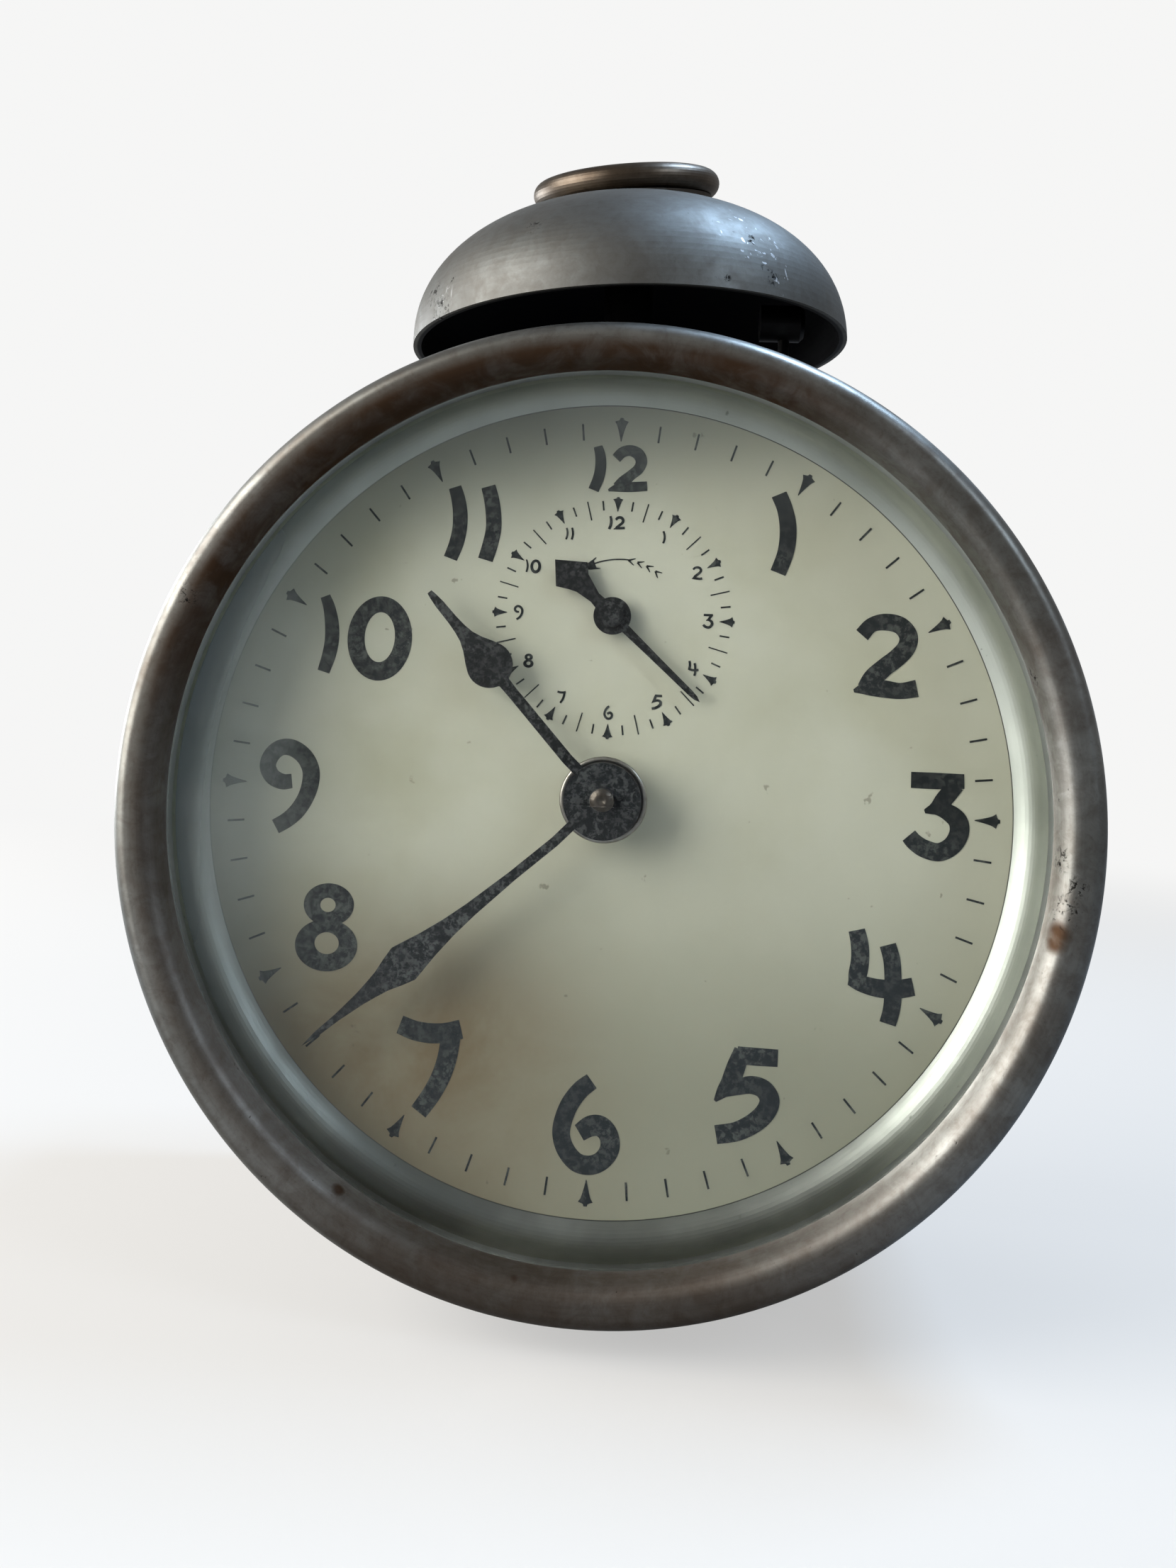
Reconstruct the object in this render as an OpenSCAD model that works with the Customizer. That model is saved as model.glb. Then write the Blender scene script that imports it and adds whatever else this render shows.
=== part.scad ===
// Wind-up alarm clock: a round drum case with a bell on top, and its going and ringing works inside.
// Millimetres. The dial faces -Y and +Z is up. The clock stands on z = 0.
// Inside at_clock() the pieces are drawn as the dial shows them: X right, Y up, Z towards the viewer,
// with Z = 0 at the back edge of the drum and the hands' arbor on X = Y = 0.

/* [Case] */
// Outside radius of the rolled front rim
rim_r = 57; // [56.8:0.1:57.4]
// Outside radius of the drum
drum_r = 53.5; // [53.4:0.05:53.6]
// Depth of the drum, from its back edge to its front edge
drum_depth = 53; // [52.5:0.25:53.5]
// Thickness of the case's sheet steel
sheet_t = 0.6; // [0.5:0.05:0.7]
// Height of the hands' arbor above what the clock stands on
centre_h = 60.3; // [59.5:0.1:61]
// How far the glass domes out at its middle
glass_sag = 3; // [2:0.25:3.5]
// Radius of the dial that shows inside the sight ring
dial_show_r = 48.8; // [48.5:0.1:49]

/* [Bell] */
// Radius of the bell's mouth
bell_r = 30.6; // [30:0.1:31]
// Height of the bell's dome, from its mouth to where the crown rises from it
bell_h = 20; // [19.6:0.1:20.4]
// Fullness of the bell's curve: 2 is an ellipse, more is fuller
bell_full = 2.2; // [2:0.1:2.4]
// Lean of the bell and its post towards the dial's left
bell_lean = 3.4; // [0:0.2:3.6]
// Height of the bell's mouth above the hands' arbor
bell_mouth_y = 61.8; // [61:0.1:62.5]
// Thickness of the bell's wall
bell_t = 1.1; // [1:0.1:1.4]
// Radius over the rolled rim of the bell's cap
cap_r = 13.4; // [13.1:0.1:13.7]
// Tilt of the cap and the top of the bell's crown towards the front, where a knock has bent them
cap_tilt = 13; // [11:0.5:14]

/* [Hands] */
// Length of the minute hand from the arbor
minute_len = 45.1; // [44.5:0.1:46]
// Length of the hour hand from the arbor
hour_len = 33; // [32.5:0.1:34]
// Minutes that the minute hand shows
minutes_shown = 38.1; // [0:0.1:59.9]
// Hour that the hour hand shows
hours_shown = 10.575; // [0:0.025:12]
// Hour that the alarm hand shows on its small dial
alarm_shown = 10.4; // [0:0.05:12]
// Height of the alarm dial's middle above the hands' arbor
alarm_y = 22.4; // [22.2:0.05:22.6]

/* [Movement] */
// Width of the movement's plates
plate_w = 80; // [80:1:81]
// Height of the movement's plates
plate_h = 84; // [84:1:85]
// Thickness of the plates
plate_t = 1.5; // [1.4:0.1:1.6]
// Module of the two great wheels' teeth
great_m = 0.7; // [0.7:0.01:0.71]
// Turns of each mainspring
spring_turns = 9; // [7:1:10]
// Thickness of a mainspring's strip
spring_t = 0.45; // [0.35:0.05:0.5]
// Turns of the hairspring before its regulated arc
hair_turns = 5; // [4:1:5]

/* [Hidden] */
$fn = 64;

// Levels along the clock's depth
crest_z = 59.1;          // front of the rolled rim
key_back = -12.2;        // back of the winding keys
back_y = (crest_z + key_back) / 2;
dial_z = 47.5;           // printed face of the dial
dial_t = 0.5;
glass_z = [53.4, 54.9];  // back and front of the glass at its edge
back_plate_z = 12;       // back face of the back plate
front_plate_z = 41;      // back face of the front plate
cover_z = 3;             // outside of the back cover's dished middle
bell_z = 26;             // the bell's axis stands over this depth

// Places of the arbors, seen from the front
centre = [0, 0];
alarm_at = [0, alarm_y];
great_d = great_m * (54 + 9) / 2;
time_at = great_d * [cos(222), sin(222)];
ring_at = great_d * [cos(318), sin(318)];
centre_m = 0.5;
third_at = centre + polar(centre_m * (64 + 8) / 2, 150);
third_m = 0.45;
fourth_at = third_at + polar(third_m * (60 + 8) / 2, 80);
fourth_m = 0.4;
escape_at = fourth_at + polar(fourth_m * (56 + 7) / 2, 175);
lever_dir = 245;         // from the escape wheel to the balance
lever_at = escape_at + polar(8.2, lever_dir);
balance_at = lever_at + polar(12, lever_dir);
hour_m = alarm_y / 40;   // hour wheel and alarm wheel mesh one to one
minute_d = hour_m * (40 + 10) / 2;
minute_m = 2 * minute_d / (12 + 36);
minute_at = polar(minute_d, 200);
ring_escape_at = ring_at + polar(great_m * (48 + 8) / 2, 70);
verge_at = ring_escape_at + polar(12.5, 95);
silence_at = [10.5, 30.5];
pillar_at = [[-30, -34], [30, -34], [30, 34], [-30, 34]];
foot_at = [[-20, 38], [20, 38], [0, 8]];   // X and depth of the three feet

// Thicknesses and fits
fit = 0.05;              // radial clearance of a running pivot
pivot_r = 0.5;
arbor_r = 0.9;
gap = 0.1;               // end clearance

// Outline of one wheel tooth and one pinion leaf: height over the pitch circle in modules,
// half width as a share of half the pitch
wheel_tooth = [[-1.3, -0.56], [0.05, -0.40], [0.85, -0.13], [0.85, 0.13], [0.05, 0.40], [-1.3, 0.56]];
leaf_tooth = [[-1.35, -0.34], [0, -0.36], [0.35, -0.24], [0.6, -0.14],
    [0.6, 0.14], [0.35, 0.24], [0, 0.36], [-1.35, 0.34]];

nickel = "#9b9c97";
brass = "#a88b4e";
steel = "#6f747a";
blued = "#26292d";

function polar(r, a) = [r * cos(a), r * sin(a)];
function arc(c, r, from, to, n) = [for (i = [0:n]) c + polar(r, from + (to - from) * i / n)];
// Angle on the dial, clockwise from 12, as an angle from X
function dial_angle(share) = 90 - 360 * share;
// Turn of a wheel that meshes with another at direction dir, so that a tooth meets a gap
function meshed(dir, n, other_n, other_turn) = dir + 180 + 180 / n - (other_turn - dir) * other_n / n;
function gear_outline(n, m, tooth, turn) = [for (i = [0:n - 1]) for (t = tooth)
    polar(m * n / 2 + m * t[0], turn + 360 / n * (i + t[1] / 2))];
// Leaning teeth of ratchets and escape wheels: each tooth lists [radius, share of the pitch]
function saw_outline(n, tooth, turn, way) = [for (i = [0:n - 1]) for (t = tooth)
    polar(t[0], turn + way * 360 / n * (i + t[1]))];
function spiral(c, from_r, to_r, from_a, turns, per_turn, way) = [for (i = [0:turns * per_turn])
    c + polar(from_r + (to_r - from_r) * i / (turns * per_turn), from_a + way * 360 * i / per_turn)];
function unit(v) = v / norm(v);
function left_of(path, i) = let (d = unit(path[min(i + 1, len(path) - 1)] - path[max(i - 1, 0)])) [-d[1], d[0]];
// Outline of a strip of thickness t that follows a path
function strip(path, t) = concat([for (i = [0:len(path) - 1]) path[i] + left_of(path, i) * t / 2],
    [for (i = [len(path) - 1:-1:0]) path[i] - left_of(path, i) * t / 2]);

module at_clock() {
    translate([0, back_y, centre_h]) rotate([90, 0, 0]) children();
}

// Round rod between two depths
module rod(at, z0, z1, r) {
    translate([at[0], at[1], z0]) cylinder(r = r, h = z1 - z0);
}

module plate_of(points, z0, z1) {
    translate([0, 0, z0]) linear_extrude(z1 - z0) polygon(points);
}

// Openings between the spokes of a wheel
module crossings(at, r_in, r_out, spokes, spoke_w, turn, z0, z1) {
    translate([at[0], at[1], z0 - 1]) rotate(turn) difference() {
        cylinder(r = r_out, h = z1 - z0 + 2);
        translate([0, 0, -1]) cylinder(r = r_in, h = z1 - z0 + 4);
        for (i = [0:spokes - 1]) rotate(i * 360 / spokes)
            translate([0, -spoke_w / 2, -1]) cube([r_out + 1, spoke_w, z1 - z0 + 4]);
    }
}

module gear(at, n, m, tooth, turn, z0, z1) {
    translate(at) plate_of(gear_outline(n, m, tooth, turn), z0, z1);
}

// Six-sided nut, w across its flats
module hex_nut(at, z0, z1, w, bore) {
    translate([at[0], at[1], z0]) difference() {
        cylinder(r = w / sqrt(3), h = z1 - z0, $fn = 6);
        translate([0, 0, -1]) cylinder(r = bore, h = z1 - z0 + 2);
    }
}

// Arbor with a thin pivot in each plate
module plain_arbor(at) {
    rod(at, back_plate_z + 0.2, front_plate_z + plate_t - 0.2, pivot_r);
    rod(at, back_plate_z + plate_t + gap, front_plate_z - gap, arbor_r);
}

// Solid of the drum's outside, which the post, the feet and their nuts are shaped to
module drum_body(r) {
    translate([0, 0, -5]) cylinder(r = r, h = drum_depth + 10, $fn = 128);
}

// Case

lip_r = drum_r - 2.1;    // inner edge of the drum's turned-in back lip
slot_x = [16.3, 26.2];   // hammer slot in the top of the drum
slot_w = 3.4;
post_r = 3.5;
post_stud_r = 2.4;
foot_stud_r = 1.5;

module case_drum() {
    color(nickel) at_clock() difference() {
        rotate_extrude($fn = 128) polygon(concat([[lip_r, 0.15], [lip_r + 0.3, 0]],
            arc([drum_r - 0.7, 0.7], 0.7, -90, 0, 5),
            [[drum_r, drum_depth], [drum_r - sheet_t, drum_depth], [drum_r - sheet_t, 0.7], [lip_r, 0.7]]));
        translate([0, drum_r - 3, bell_z]) rotate([-90, 0, 0]) cylinder(r = post_stud_r, h = 6);
        translate([slot_x[0], drum_r * 0.7, bell_z - slot_w / 2])
            cube([slot_x[1] - slot_x[0], drum_r * 0.4, slot_w]);
        for (f = foot_at) translate([f[0], -drum_r - 3, f[1]]) rotate([-90, 0, 0])
            cylinder(r = foot_stud_r, h = 12);
    }
}

roll_r = 2.1;            // outer roll of the rim: its half width and half depth
roll_d = 2.9;
roll_at = [rim_r - roll_r, crest_z - roll_d];
lip_at = [51.55, 55.05]; // lip that holds the glass
crease = 0.15;           // fine crease between the roll and the rounded slope inside it

slope_full = 3.3;        // fullness of the rounded slope: 2 is an ellipse, more is fuller

// Rounded slope of the rim, from its lip (turn 180) up to its crest (turn 90); t is the depth under its skin
function rim_slope(t, from, to, n) = let (c = [roll_at[0] + crease, lip_at[1]]) [for (i = [0:n])
    let (a = from + (to - from) * i / n)
        c + [-(c[0] - lip_at[0] - t) * pow(abs(cos(a)), 2 / slope_full),
            (crest_z - lip_at[1] - t) * pow(abs(sin(a)), 2 / slope_full)]];

// Outer roll of the rim, t deep under its skin
function rim_roll(t, from, to, n) = [for (i = [0:n]) let (a = from + (to - from) * i / n)
    roll_at + [(roll_r - t) * cos(a), (roll_d - t) * sin(a)]];

module front_rim() {
    color(nickel) at_clock() rotate_extrude($fn = 128) polygon(concat(
        [[drum_r, 49.5], [drum_r + sheet_t, 49.5]],
        rim_roll(0, -90, 84, 16),
        [[roll_at[0] + crease, crest_z - crease]],
        rim_slope(0, 90.3, 180, 18),
        rim_slope(sheet_t, 180, 91, 14),
        rim_roll(sheet_t, 84, -90, 14),
        [[drum_r, roll_at[1] - roll_d + sheet_t]]));
}

glass_r = 51.8;

module glass() {
    dome_r = (glass_r * glass_r + glass_sag * glass_sag) / (2 * glass_sag);
    color("#c9d2d0", 0.3) at_clock() intersection() {
        translate([0, 0, glass_z[1] + glass_sag - dome_r]) difference() {
            sphere(r = dome_r, $fn = 128);
            translate([0, 0, glass_z[0] - glass_z[1]]) sphere(r = dome_r, $fn = 128);
        }
        translate([0, 0, glass_z[0] - 1]) cylinder(r = glass_r, h = 10, $fn = 128);
    }
}

// Inner wall of the sight ring, flared at the dial (t = 0) and steep at the glass (t = 1)
function ring_wall(t) = [dial_show_r + 2.5 * (1 - pow(1 - t, 4.5)), dial_z + t * (glass_z[0] - dial_z)];

module sight_ring() {
    foot_r = dial_show_r + 3;
    color("#8f938c") at_clock() rotate_extrude($fn = 128) polygon(concat(
        [for (i = [0:14]) ring_wall(pow(i / 14, 1.6))],
        [[drum_r - sheet_t, glass_z[0]], [drum_r - sheet_t, glass_z[0] - 0.5], [foot_r, glass_z[0] - 0.5],
            [foot_r, dial_z]]));
}

dial_feet = [for (i = [0:2]) polar(36, 90 + 120 * i)];

module dial_plate() {
    color("#b9b79c") at_clock() difference() {
        union() {
            rod(centre, dial_z - dial_t, dial_z, 52.4);
            for (p = dial_feet) rod(p, front_plate_z + plate_t, dial_z - dial_t, 1.1);
        }
        rod(centre, dial_z - 2, dial_z + 1, 2.9);
        rod(alarm_at, dial_z - 2, dial_z + 1, 1.4);
    }
}

cover_in = 49;           // radius of the back cover's dished middle
tab_r = 12;              // from the regulator's pivot to its tab
silence_r = 11;          // from the silence lever's pivot to its tab

// Curved slot between two angles round a point, with a half round at each end
module arc_slot(at, r, w, from, to, z0, z1) {
    plate_of(concat(arc(at, r + w / 2, from, to, 8),
        [for (i = [1:5]) at + polar(r, to) + polar(w / 2, to + 30 * i)],
        arc(at, r - w / 2, to, from, 8),
        [for (i = [1:5]) at + polar(r, from) + polar(w / 2, from + 180 + 30 * i)]), z0, z1);
}

module back_cover() {
    color(nickel) at_clock() difference() {
        rotate_extrude($fn = 128) polygon([[0, cover_z], [cover_in - 0.3, cover_z], [cover_in, cover_z - 0.3],
            [cover_in + 0.6, 1], [cover_in + 1, 0.7], [drum_r - sheet_t, 0.7], [drum_r - sheet_t, 1.3],
            [cover_in + 1.2, 1.3], [cover_in + 0.6, cover_z + 0.3], [cover_in + 0.3, cover_z + sheet_t],
            [0, cover_z + sheet_t]]);
        rod(centre, 0, 6, 1.8);
        rod(alarm_at, 0, 6, 1.5);
        rod(time_at, 0, 6, 2.4);
        rod(ring_at, 0, 6, 2.4);
        for (p = pillar_at) rod(p, 0, 6, 1.15);
        arc_slot(balance_at, tab_r, 2, 66, 114, 0, 6);
        arc_slot(silence_at, silence_r, 2, 72, 108, 0, 6);
    }
}

module back_screws() {
    color(steel) at_clock() for (p = pillar_at) difference() {
        union() {
            rod(p, cover_z - 1.4, cover_z, 2.3);
            rod(p, cover_z, 9, 1.1);
        }
        translate([p[0] - 3, p[1] - 0.35, cover_z - 2]) cube([6, 0.7, 1.2]);
    }
}

module foot(place) {
    x = place[0];
    color(nickel) at_clock() union() {
        difference() {
            translate([x, -centre_h, place[1]]) rotate([-90, 0, 0]) {
                cylinder(r1 = 2.5, r2 = 2.8, h = 1);
                translate([0, 0, 1]) cylinder(r1 = 2.8, r2 = 3.2, h = 30);
            }
            drum_body(drum_r);
            translate([x - 10, -drum_r / 2, place[1] - 10]) cube([20, drum_r, 20]);
        }
        translate([x, 4 - centre_h, place[1]]) rotate([-90, 0, 0])
            cylinder(r = foot_stud_r, h = centre_h - 4 - sqrt(drum_r * drum_r - x * x) + 5);
    }
}

module foot_left() { foot(foot_at[0]); }
module foot_right() { foot(foot_at[1]); }
module foot_rear() { foot(foot_at[2]); }

module foot_nuts() {
    color(steel) at_clock() for (f = foot_at) intersection() {
        translate([f[0], -drum_r - 1, f[1]]) rotate([-90, 0, 0]) difference() {
            cylinder(r = 2.9, h = drum_r + 1 - sqrt(pow(drum_r - sheet_t, 2) - f[0] * f[0]) + 3.4, $fn = 6);
            translate([0, 0, -1]) cylinder(r = foot_stud_r, h = 30);
        }
        drum_body(drum_r - sheet_t);
    }
}

// Bell

seat_r = 4.6;            // flat under the bell's top
crown_r = 12.2;          // short neck on the bell that carries the cap
crown_h = 1.9;           // its height over the dome, at its middle
crown_fillet = 2.4;
cap_side = 2.8;          // tilt of the cap to the left of the bell's axis
dome_steps = 28;
bell_top = bell_mouth_y + bell_h + crown_h;
bell_in = bell_h - bell_t;

// Point of a dome a wide and b high, and its height at radius r
function dome(a, b, turn) = [a * pow(cos(turn), 2 / bell_full), b * pow(sin(turn), 2 / bell_full)];
function dome_y(a, b, r) = b * pow(1 - pow(r / a, bell_full), 1 / bell_full);

module on_bell_axis() {
    translate([0, 0, bell_z]) rotate([-90, 0, 0]) children();
}

// The bell's own axis, which leans about the foot of its post
module on_leaning_axis() {
    on_bell_axis() translate([0, 0, drum_r]) rotate([0, -bell_lean, 0]) translate([0, 0, -drum_r]) children();
}

// Axis of the cap, from the crown's top up
module on_cap_axis() {
    on_leaning_axis() translate([0, 0, bell_top]) rotate([cap_tilt, -cap_side, 0]) children();
}

rim_tube = 1.8;          // radius of the cap's rolled rim
cap_t = 1;               // thickness of the cap's plate
bell_stud_r = 2;

// The post's stud, straight through the bell and bent over under the cap
module bell_stud() {
    on_leaning_axis() translate([0, 0, bell_mouth_y + bell_in - 1])
        cylinder(r = bell_stud_r, h = bell_h + crown_h - bell_in + 1 - bell_stud_r * sin(cap_tilt + cap_side));
    on_cap_axis() translate([0, 0, -1.4]) cylinder(r = bell_stud_r, h = cap_t + 2.8);
}

module bell_post() {
    color(steel) at_clock() {
        difference() {
            on_bell_axis() cylinder(r = 5, h = drum_r + 2.5);
            drum_body(drum_r);
        }
        on_bell_axis() translate([0, 0, drum_r - 4]) cylinder(r = post_stud_r, h = 6);
        on_leaning_axis() translate([0, 0, drum_r + 1.8])
            cylinder(r = post_r, h = bell_mouth_y + bell_in - drum_r - 1.8);
        bell_stud();
    }
}

module bell() {
    join_turn = 253;     // end of the crown's fillet, where it meets the dome
    join_r = crown_r + crown_fillet * (1 + cos(join_turn));
    join_y = dome_y(bell_r, bell_h, join_r);
    last_turn = acos(pow(join_r / bell_r, bell_full / 2));
    crown_top = bell_h + crown_h + crown_r * tan(cap_tilt) + 1;   // before the tilted cut
    color("#7f8380") at_clock() difference() {
        on_leaning_axis() translate([0, 0, bell_mouth_y]) rotate_extrude($fn = 128) polygon(concat(
            [[0, bell_in], [0, crown_top], [crown_r, crown_top]],
            arc([crown_r + crown_fillet, join_y - crown_fillet * sin(join_turn)], crown_fillet, 180, join_turn, 7),
            [for (i = [dome_steps - 1:-1:0]) dome(bell_r, bell_h, last_turn * i / dome_steps)],
            [for (i = [0:dome_steps]) dome(bell_r - bell_t, bell_in, 80 * i / dome_steps)], [[seat_r, bell_in]]));
        on_cap_axis() cylinder(r = crown_r + 1.2, h = 10);
        bell_stud();
    }
}

module bell_cap() {
    roll = cap_r - rim_tube;
    color("#4a3a30") at_clock() on_cap_axis() rotate_extrude($fn = 96)
        polygon(concat([[bell_stud_r, 0]], arc([roll, rim_tube], rim_tube, -90, 150, 20),
            [[roll - 2.6, cap_t + 0.3], [roll - 3.2, cap_t], [bell_stud_r, cap_t]]));
}

module bell_nut() {
    color(nickel) at_clock() on_cap_axis() translate([0, 0, cap_t]) difference() {
        intersection() {
            cylinder(r = 4, h = 2.4, $fn = 6);
            translate([0, 0, -3.2]) sphere(r = 5.6);
        }
        translate([0, 0, -1]) cylinder(r = bell_stud_r, h = 2.5);
    }
}

// Plates and what holds them

plate_corner = 18;

// Rounded plate of the movement
module movement_plate(z0) {
    translate([0, 0, z0]) linear_extrude(plate_t) polygon(concat(
        [for (q = [0:3]) each arc([(q == 0 || q == 3 ? 1 : -1) * (plate_w / 2 - plate_corner),
            (q < 2 ? 1 : -1) * (plate_h / 2 - plate_corner)], plate_corner, 90 * q, 90 * q + 90, 8)]));
}

pillar_r = 2.5;
thread_r = 1.4;
small_pivots = [third_at, fourth_at, escape_at, lever_at, ring_escape_at, verge_at];
stud_at = balance_at + polar(6.4, 300);
pin_slot_dir = 250;      // from the balance to the regulator's two pins
silence_pin_r = 9.97;    // from the silence lever's pivot to its stop pin
silence_pin_a = -34.5;   // direction of the stop pin while the alarm may ring
silence_travel = 20;
regulator_travel = 20;

module front_plate() {
    color(brass) at_clock() difference() {
        union() {
            movement_plate(front_plate_z);
            rod(minute_at, front_plate_z + plate_t, 46.3, 1);
        }
        for (p = small_pivots) rod(p, 40, 44, pivot_r + fit);
        rod(centre, 40, 44, 1.2 + fit);
        rod(alarm_at, 40, 44, arbor_r + fit);
        for (p = [time_at, ring_at]) rod(p, 40, 44, 1 + fit);
        for (p = pillar_at) rod(p, 40, 44, thread_r);
        rod(balance_at, 40, 44, 1.6);
    }
}

module back_plate() {
    color(brass) at_clock() difference() {
        union() {
            movement_plate(back_plate_z);
            rod(silence_at, back_plate_z - 1.6, back_plate_z, 1.4);
            rod(silence_at, back_plate_z - 2.3, back_plate_z - 1.6, 2.3);
        }
        for (p = small_pivots) rod(p, 11, 15, pivot_r + fit);
        rod(centre, 11, 15, 1.2 + fit);
        rod(alarm_at, 11, 15, arbor_r + fit);
        for (p = [time_at, ring_at]) rod(p, 11, 15, 1.8 + fit);
        for (p = pillar_at) rod(p, 11, 15, thread_r);
        rod(balance_at, 11, 15, 1.6);
        arc_slot(balance_at, 6.4, 2.4, pin_slot_dir - regulator_travel - 3, pin_slot_dir + regulator_travel + 3,
            11, 15);
        arc_slot(silence_at, silence_pin_r, 2.6, silence_pin_a - 3, silence_pin_a + silence_travel + 3, 11, 15);
    }
}

module pillars() {
    color(brass) at_clock() for (p = pillar_at) {
        rod(p, back_plate_z + plate_t, front_plate_z, pillar_r);
        rod(p, front_plate_z - 1, front_plate_z + plate_t + 2.2, thread_r);
        rod(p, back_plate_z - 3, back_plate_z + plate_t + 1, thread_r);
    }
}

module pillar_nuts() {
    color(steel) at_clock() for (p = pillar_at)
        hex_nut(p, front_plate_z + plate_t, front_plate_z + plate_t + 1.9, 5, thread_r);
}

module rear_posts() {
    color(brass) at_clock() for (p = pillar_at) difference() {
        rod(p, cover_z + sheet_t, back_plate_z, 2.5);
        rod(p, cover_z, 9, 1.1);
        rod(p, 9, back_plate_z + 1, thread_r);
    }
}

// Screws that hold the balance staff's two ends
module pivot_screws() {
    color(steel) at_clock() {
        difference() {
            union() {
                rod(balance_at, back_plate_z - 1.8, back_plate_z + plate_t + 1, 1.6);
                rod(balance_at, back_plate_z - 2.6, back_plate_z - 1.8, 2.6);
            }
            rod(balance_at, back_plate_z + plate_t, back_plate_z + plate_t + 2, 0.4 + fit);
        }
        difference() {
            union() {
                rod(balance_at, front_plate_z - 1, front_plate_z + plate_t, 1.6);
                rod(balance_at, front_plate_z + plate_t, front_plate_z + plate_t + 1, 2.6);
            }
            rod(balance_at, front_plate_z - 2, front_plate_z, 0.4 + fit);
        }
    }
}

// Springs

spring_z = [20, 32.8];
core_r = 2.9;            // part of a winding arbor that its spring winds on
spring_in = core_r + spring_t / 2 + fit;
spring_out = 15;
per_turn = 24;

// Path of a mainspring from its arbor out to its loop round a pillar
function mainspring_path(at, post, way) =
    let (out = post - at, post_a = atan2(out[1], out[0]), reach = norm(out), loop = pillar_r + spring_t / 2 + 0.08,
        end_a = post_a - way * 62)
    concat(spiral(at, spring_in, spring_out, end_a - way * 360 * spring_turns, spring_turns, per_turn, way),
        [for (s = [[50, 15.4], [38, 16.3], [26, 17.9], [15, 19.8], [7, 20.7]]) at + polar(s[1], post_a - way * s[0])],
        [for (i = [0:9]) post + polar(loop, post_a + 180 - way * 24 * i)]);

module time_mainspring() {
    color(steel) at_clock() plate_of(strip(mainspring_path(time_at, pillar_at[0], 1), spring_t),
        spring_z[0], spring_z[1]);
}

module alarm_mainspring() {
    color(steel) at_clock() plate_of(strip(mainspring_path(ring_at, pillar_at[1], -1), spring_t),
        spring_z[0], spring_z[1]);
}

echo(mainspring_gap = (spring_out - spring_in) / spring_turns - spring_t);

hair_r = 6.4;            // radius of the hairspring's regulated arc
hair_out = 6;            // radius where the spiral ends and the arc begins
hair_in = 2.2;
hair_t = 0.2;
hair_z = [20.4, 21.6];

echo(hairspring_gap = (hair_out - hair_in) / hair_turns - hair_t);

// Outline of the hairspring, from its collet out to the stud that holds its end
hair_outline = strip(concat(spiral(balance_at, hair_in, hair_out, 200, hair_turns, per_turn, 1),
    arc(balance_at, hair_r, 212, 298, 7)), hair_t);

module hairspring() {
    color(blued) at_clock() plate_of(hair_outline, hair_z[0], hair_z[1]);
}

module hairspring_stud() {
    color(brass) at_clock() difference() {
        rod(stud_at, back_plate_z + plate_t, hair_z[1] + 0.8, 0.9);
        plate_of(hair_outline, hair_z[0], hair_z[1]);
    }
}

// Leaf that presses the alarm wheel forward
module release_spring() {
    color(brass) at_clock() difference() {
        plate_of(concat(arc(alarm_at, 3.4, 160, 380, 12), arc([7, 33.5], 2.2, 20, 160, 6)),
            front_plate_z + plate_t, front_plate_z + plate_t + 0.4);
        rod(alarm_at, 42, 44, 1.5);
    }
}

// Hands and their wheels

hour_z = [44.6, 45.6];
cannon_z = [42.8, 51.9];

module centre_arbor() {
    color(steel) at_clock() {
        rod(centre, -3, cannon_z[1] - 1, 1.2);
        rod(centre, 31, 32, 2.6);
    }
}

module cannon_pinion() {
    turn = meshed(20, 12, 36, 0);
    color(steel) at_clock() difference() {
        union() {
            gear(centre, 12, minute_m, leaf_tooth, turn, cannon_z[0], 44.2);
            rod(centre, 44.2, cannon_z[1], 1.6);
            rod(centre, cannon_z[1], 53.4, 1.45);
        }
        rod(centre, cannon_z[0] - 1, cannon_z[1] - 1, 1.2);
    }
}

// Bowed washer that lets the hands be set while the train stands
module friction_spring() {
    color(brass) at_clock() difference() {
        union() {
            rod(centre, 32, 32.5, 1.9);
            for (i = [0:2]) rotate(120 * i) translate([0, -0.9, 32]) cube([4.6, 1.8, 0.5]);
        }
        rod(centre, 31, 34, 1.2);
    }
}

minute_hub_r = 4.6;

module minute_hand() {
    side = [[0.57, 0], [0.57, 13.5], [0.82, 19.9], [1.11, 23.2], [1.6, 26.5], [2.3, 29.9], [1.86, 31.5],
        [1.33, 33.1], [1, 34.8], [0.73, 36.5], [0.42, 39.8], [0.3, minute_len - 2], [0, minute_len]];
    n = len(side);
    color(blued) at_clock() difference() {
        union() {
            rod(centre, cannon_z[1], cannon_z[1] + 0.6, minute_hub_r);
            rotate(dial_angle(minutes_shown / 60) - 90)
                plate_of(concat(side, [for (i = [n - 2:-1:0]) [-side[i][0], side[i][1]]]),
                    cannon_z[1], cannon_z[1] + 0.5);
        }
        rod(centre, 50, 54, 1.45);
    }
}

// Knurled knob on the back of an arbor
module knurled(at, z0, z1, r, bore, knurls) {
    difference() {
        translate(at) plate_of([for (i = [0:2 * knurls - 1]) polar(i % 2 == 0 ? r : r - 0.35, 180 / knurls * i)],
            z0, z1);
        rod(at, z0 + 1, z1 + 1, bore);
    }
}

module set_knob() {
    color(nickel) at_clock() {
        knurled(centre, -6.4, -1.8, 5, 1.2, 28);
        difference() {
            rod(centre, -1.8, 0.8, 2.4);
            rod(centre, -2, 2, 1.2);
        }
    }
}

hour_pipe_r = 2.3;

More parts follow.
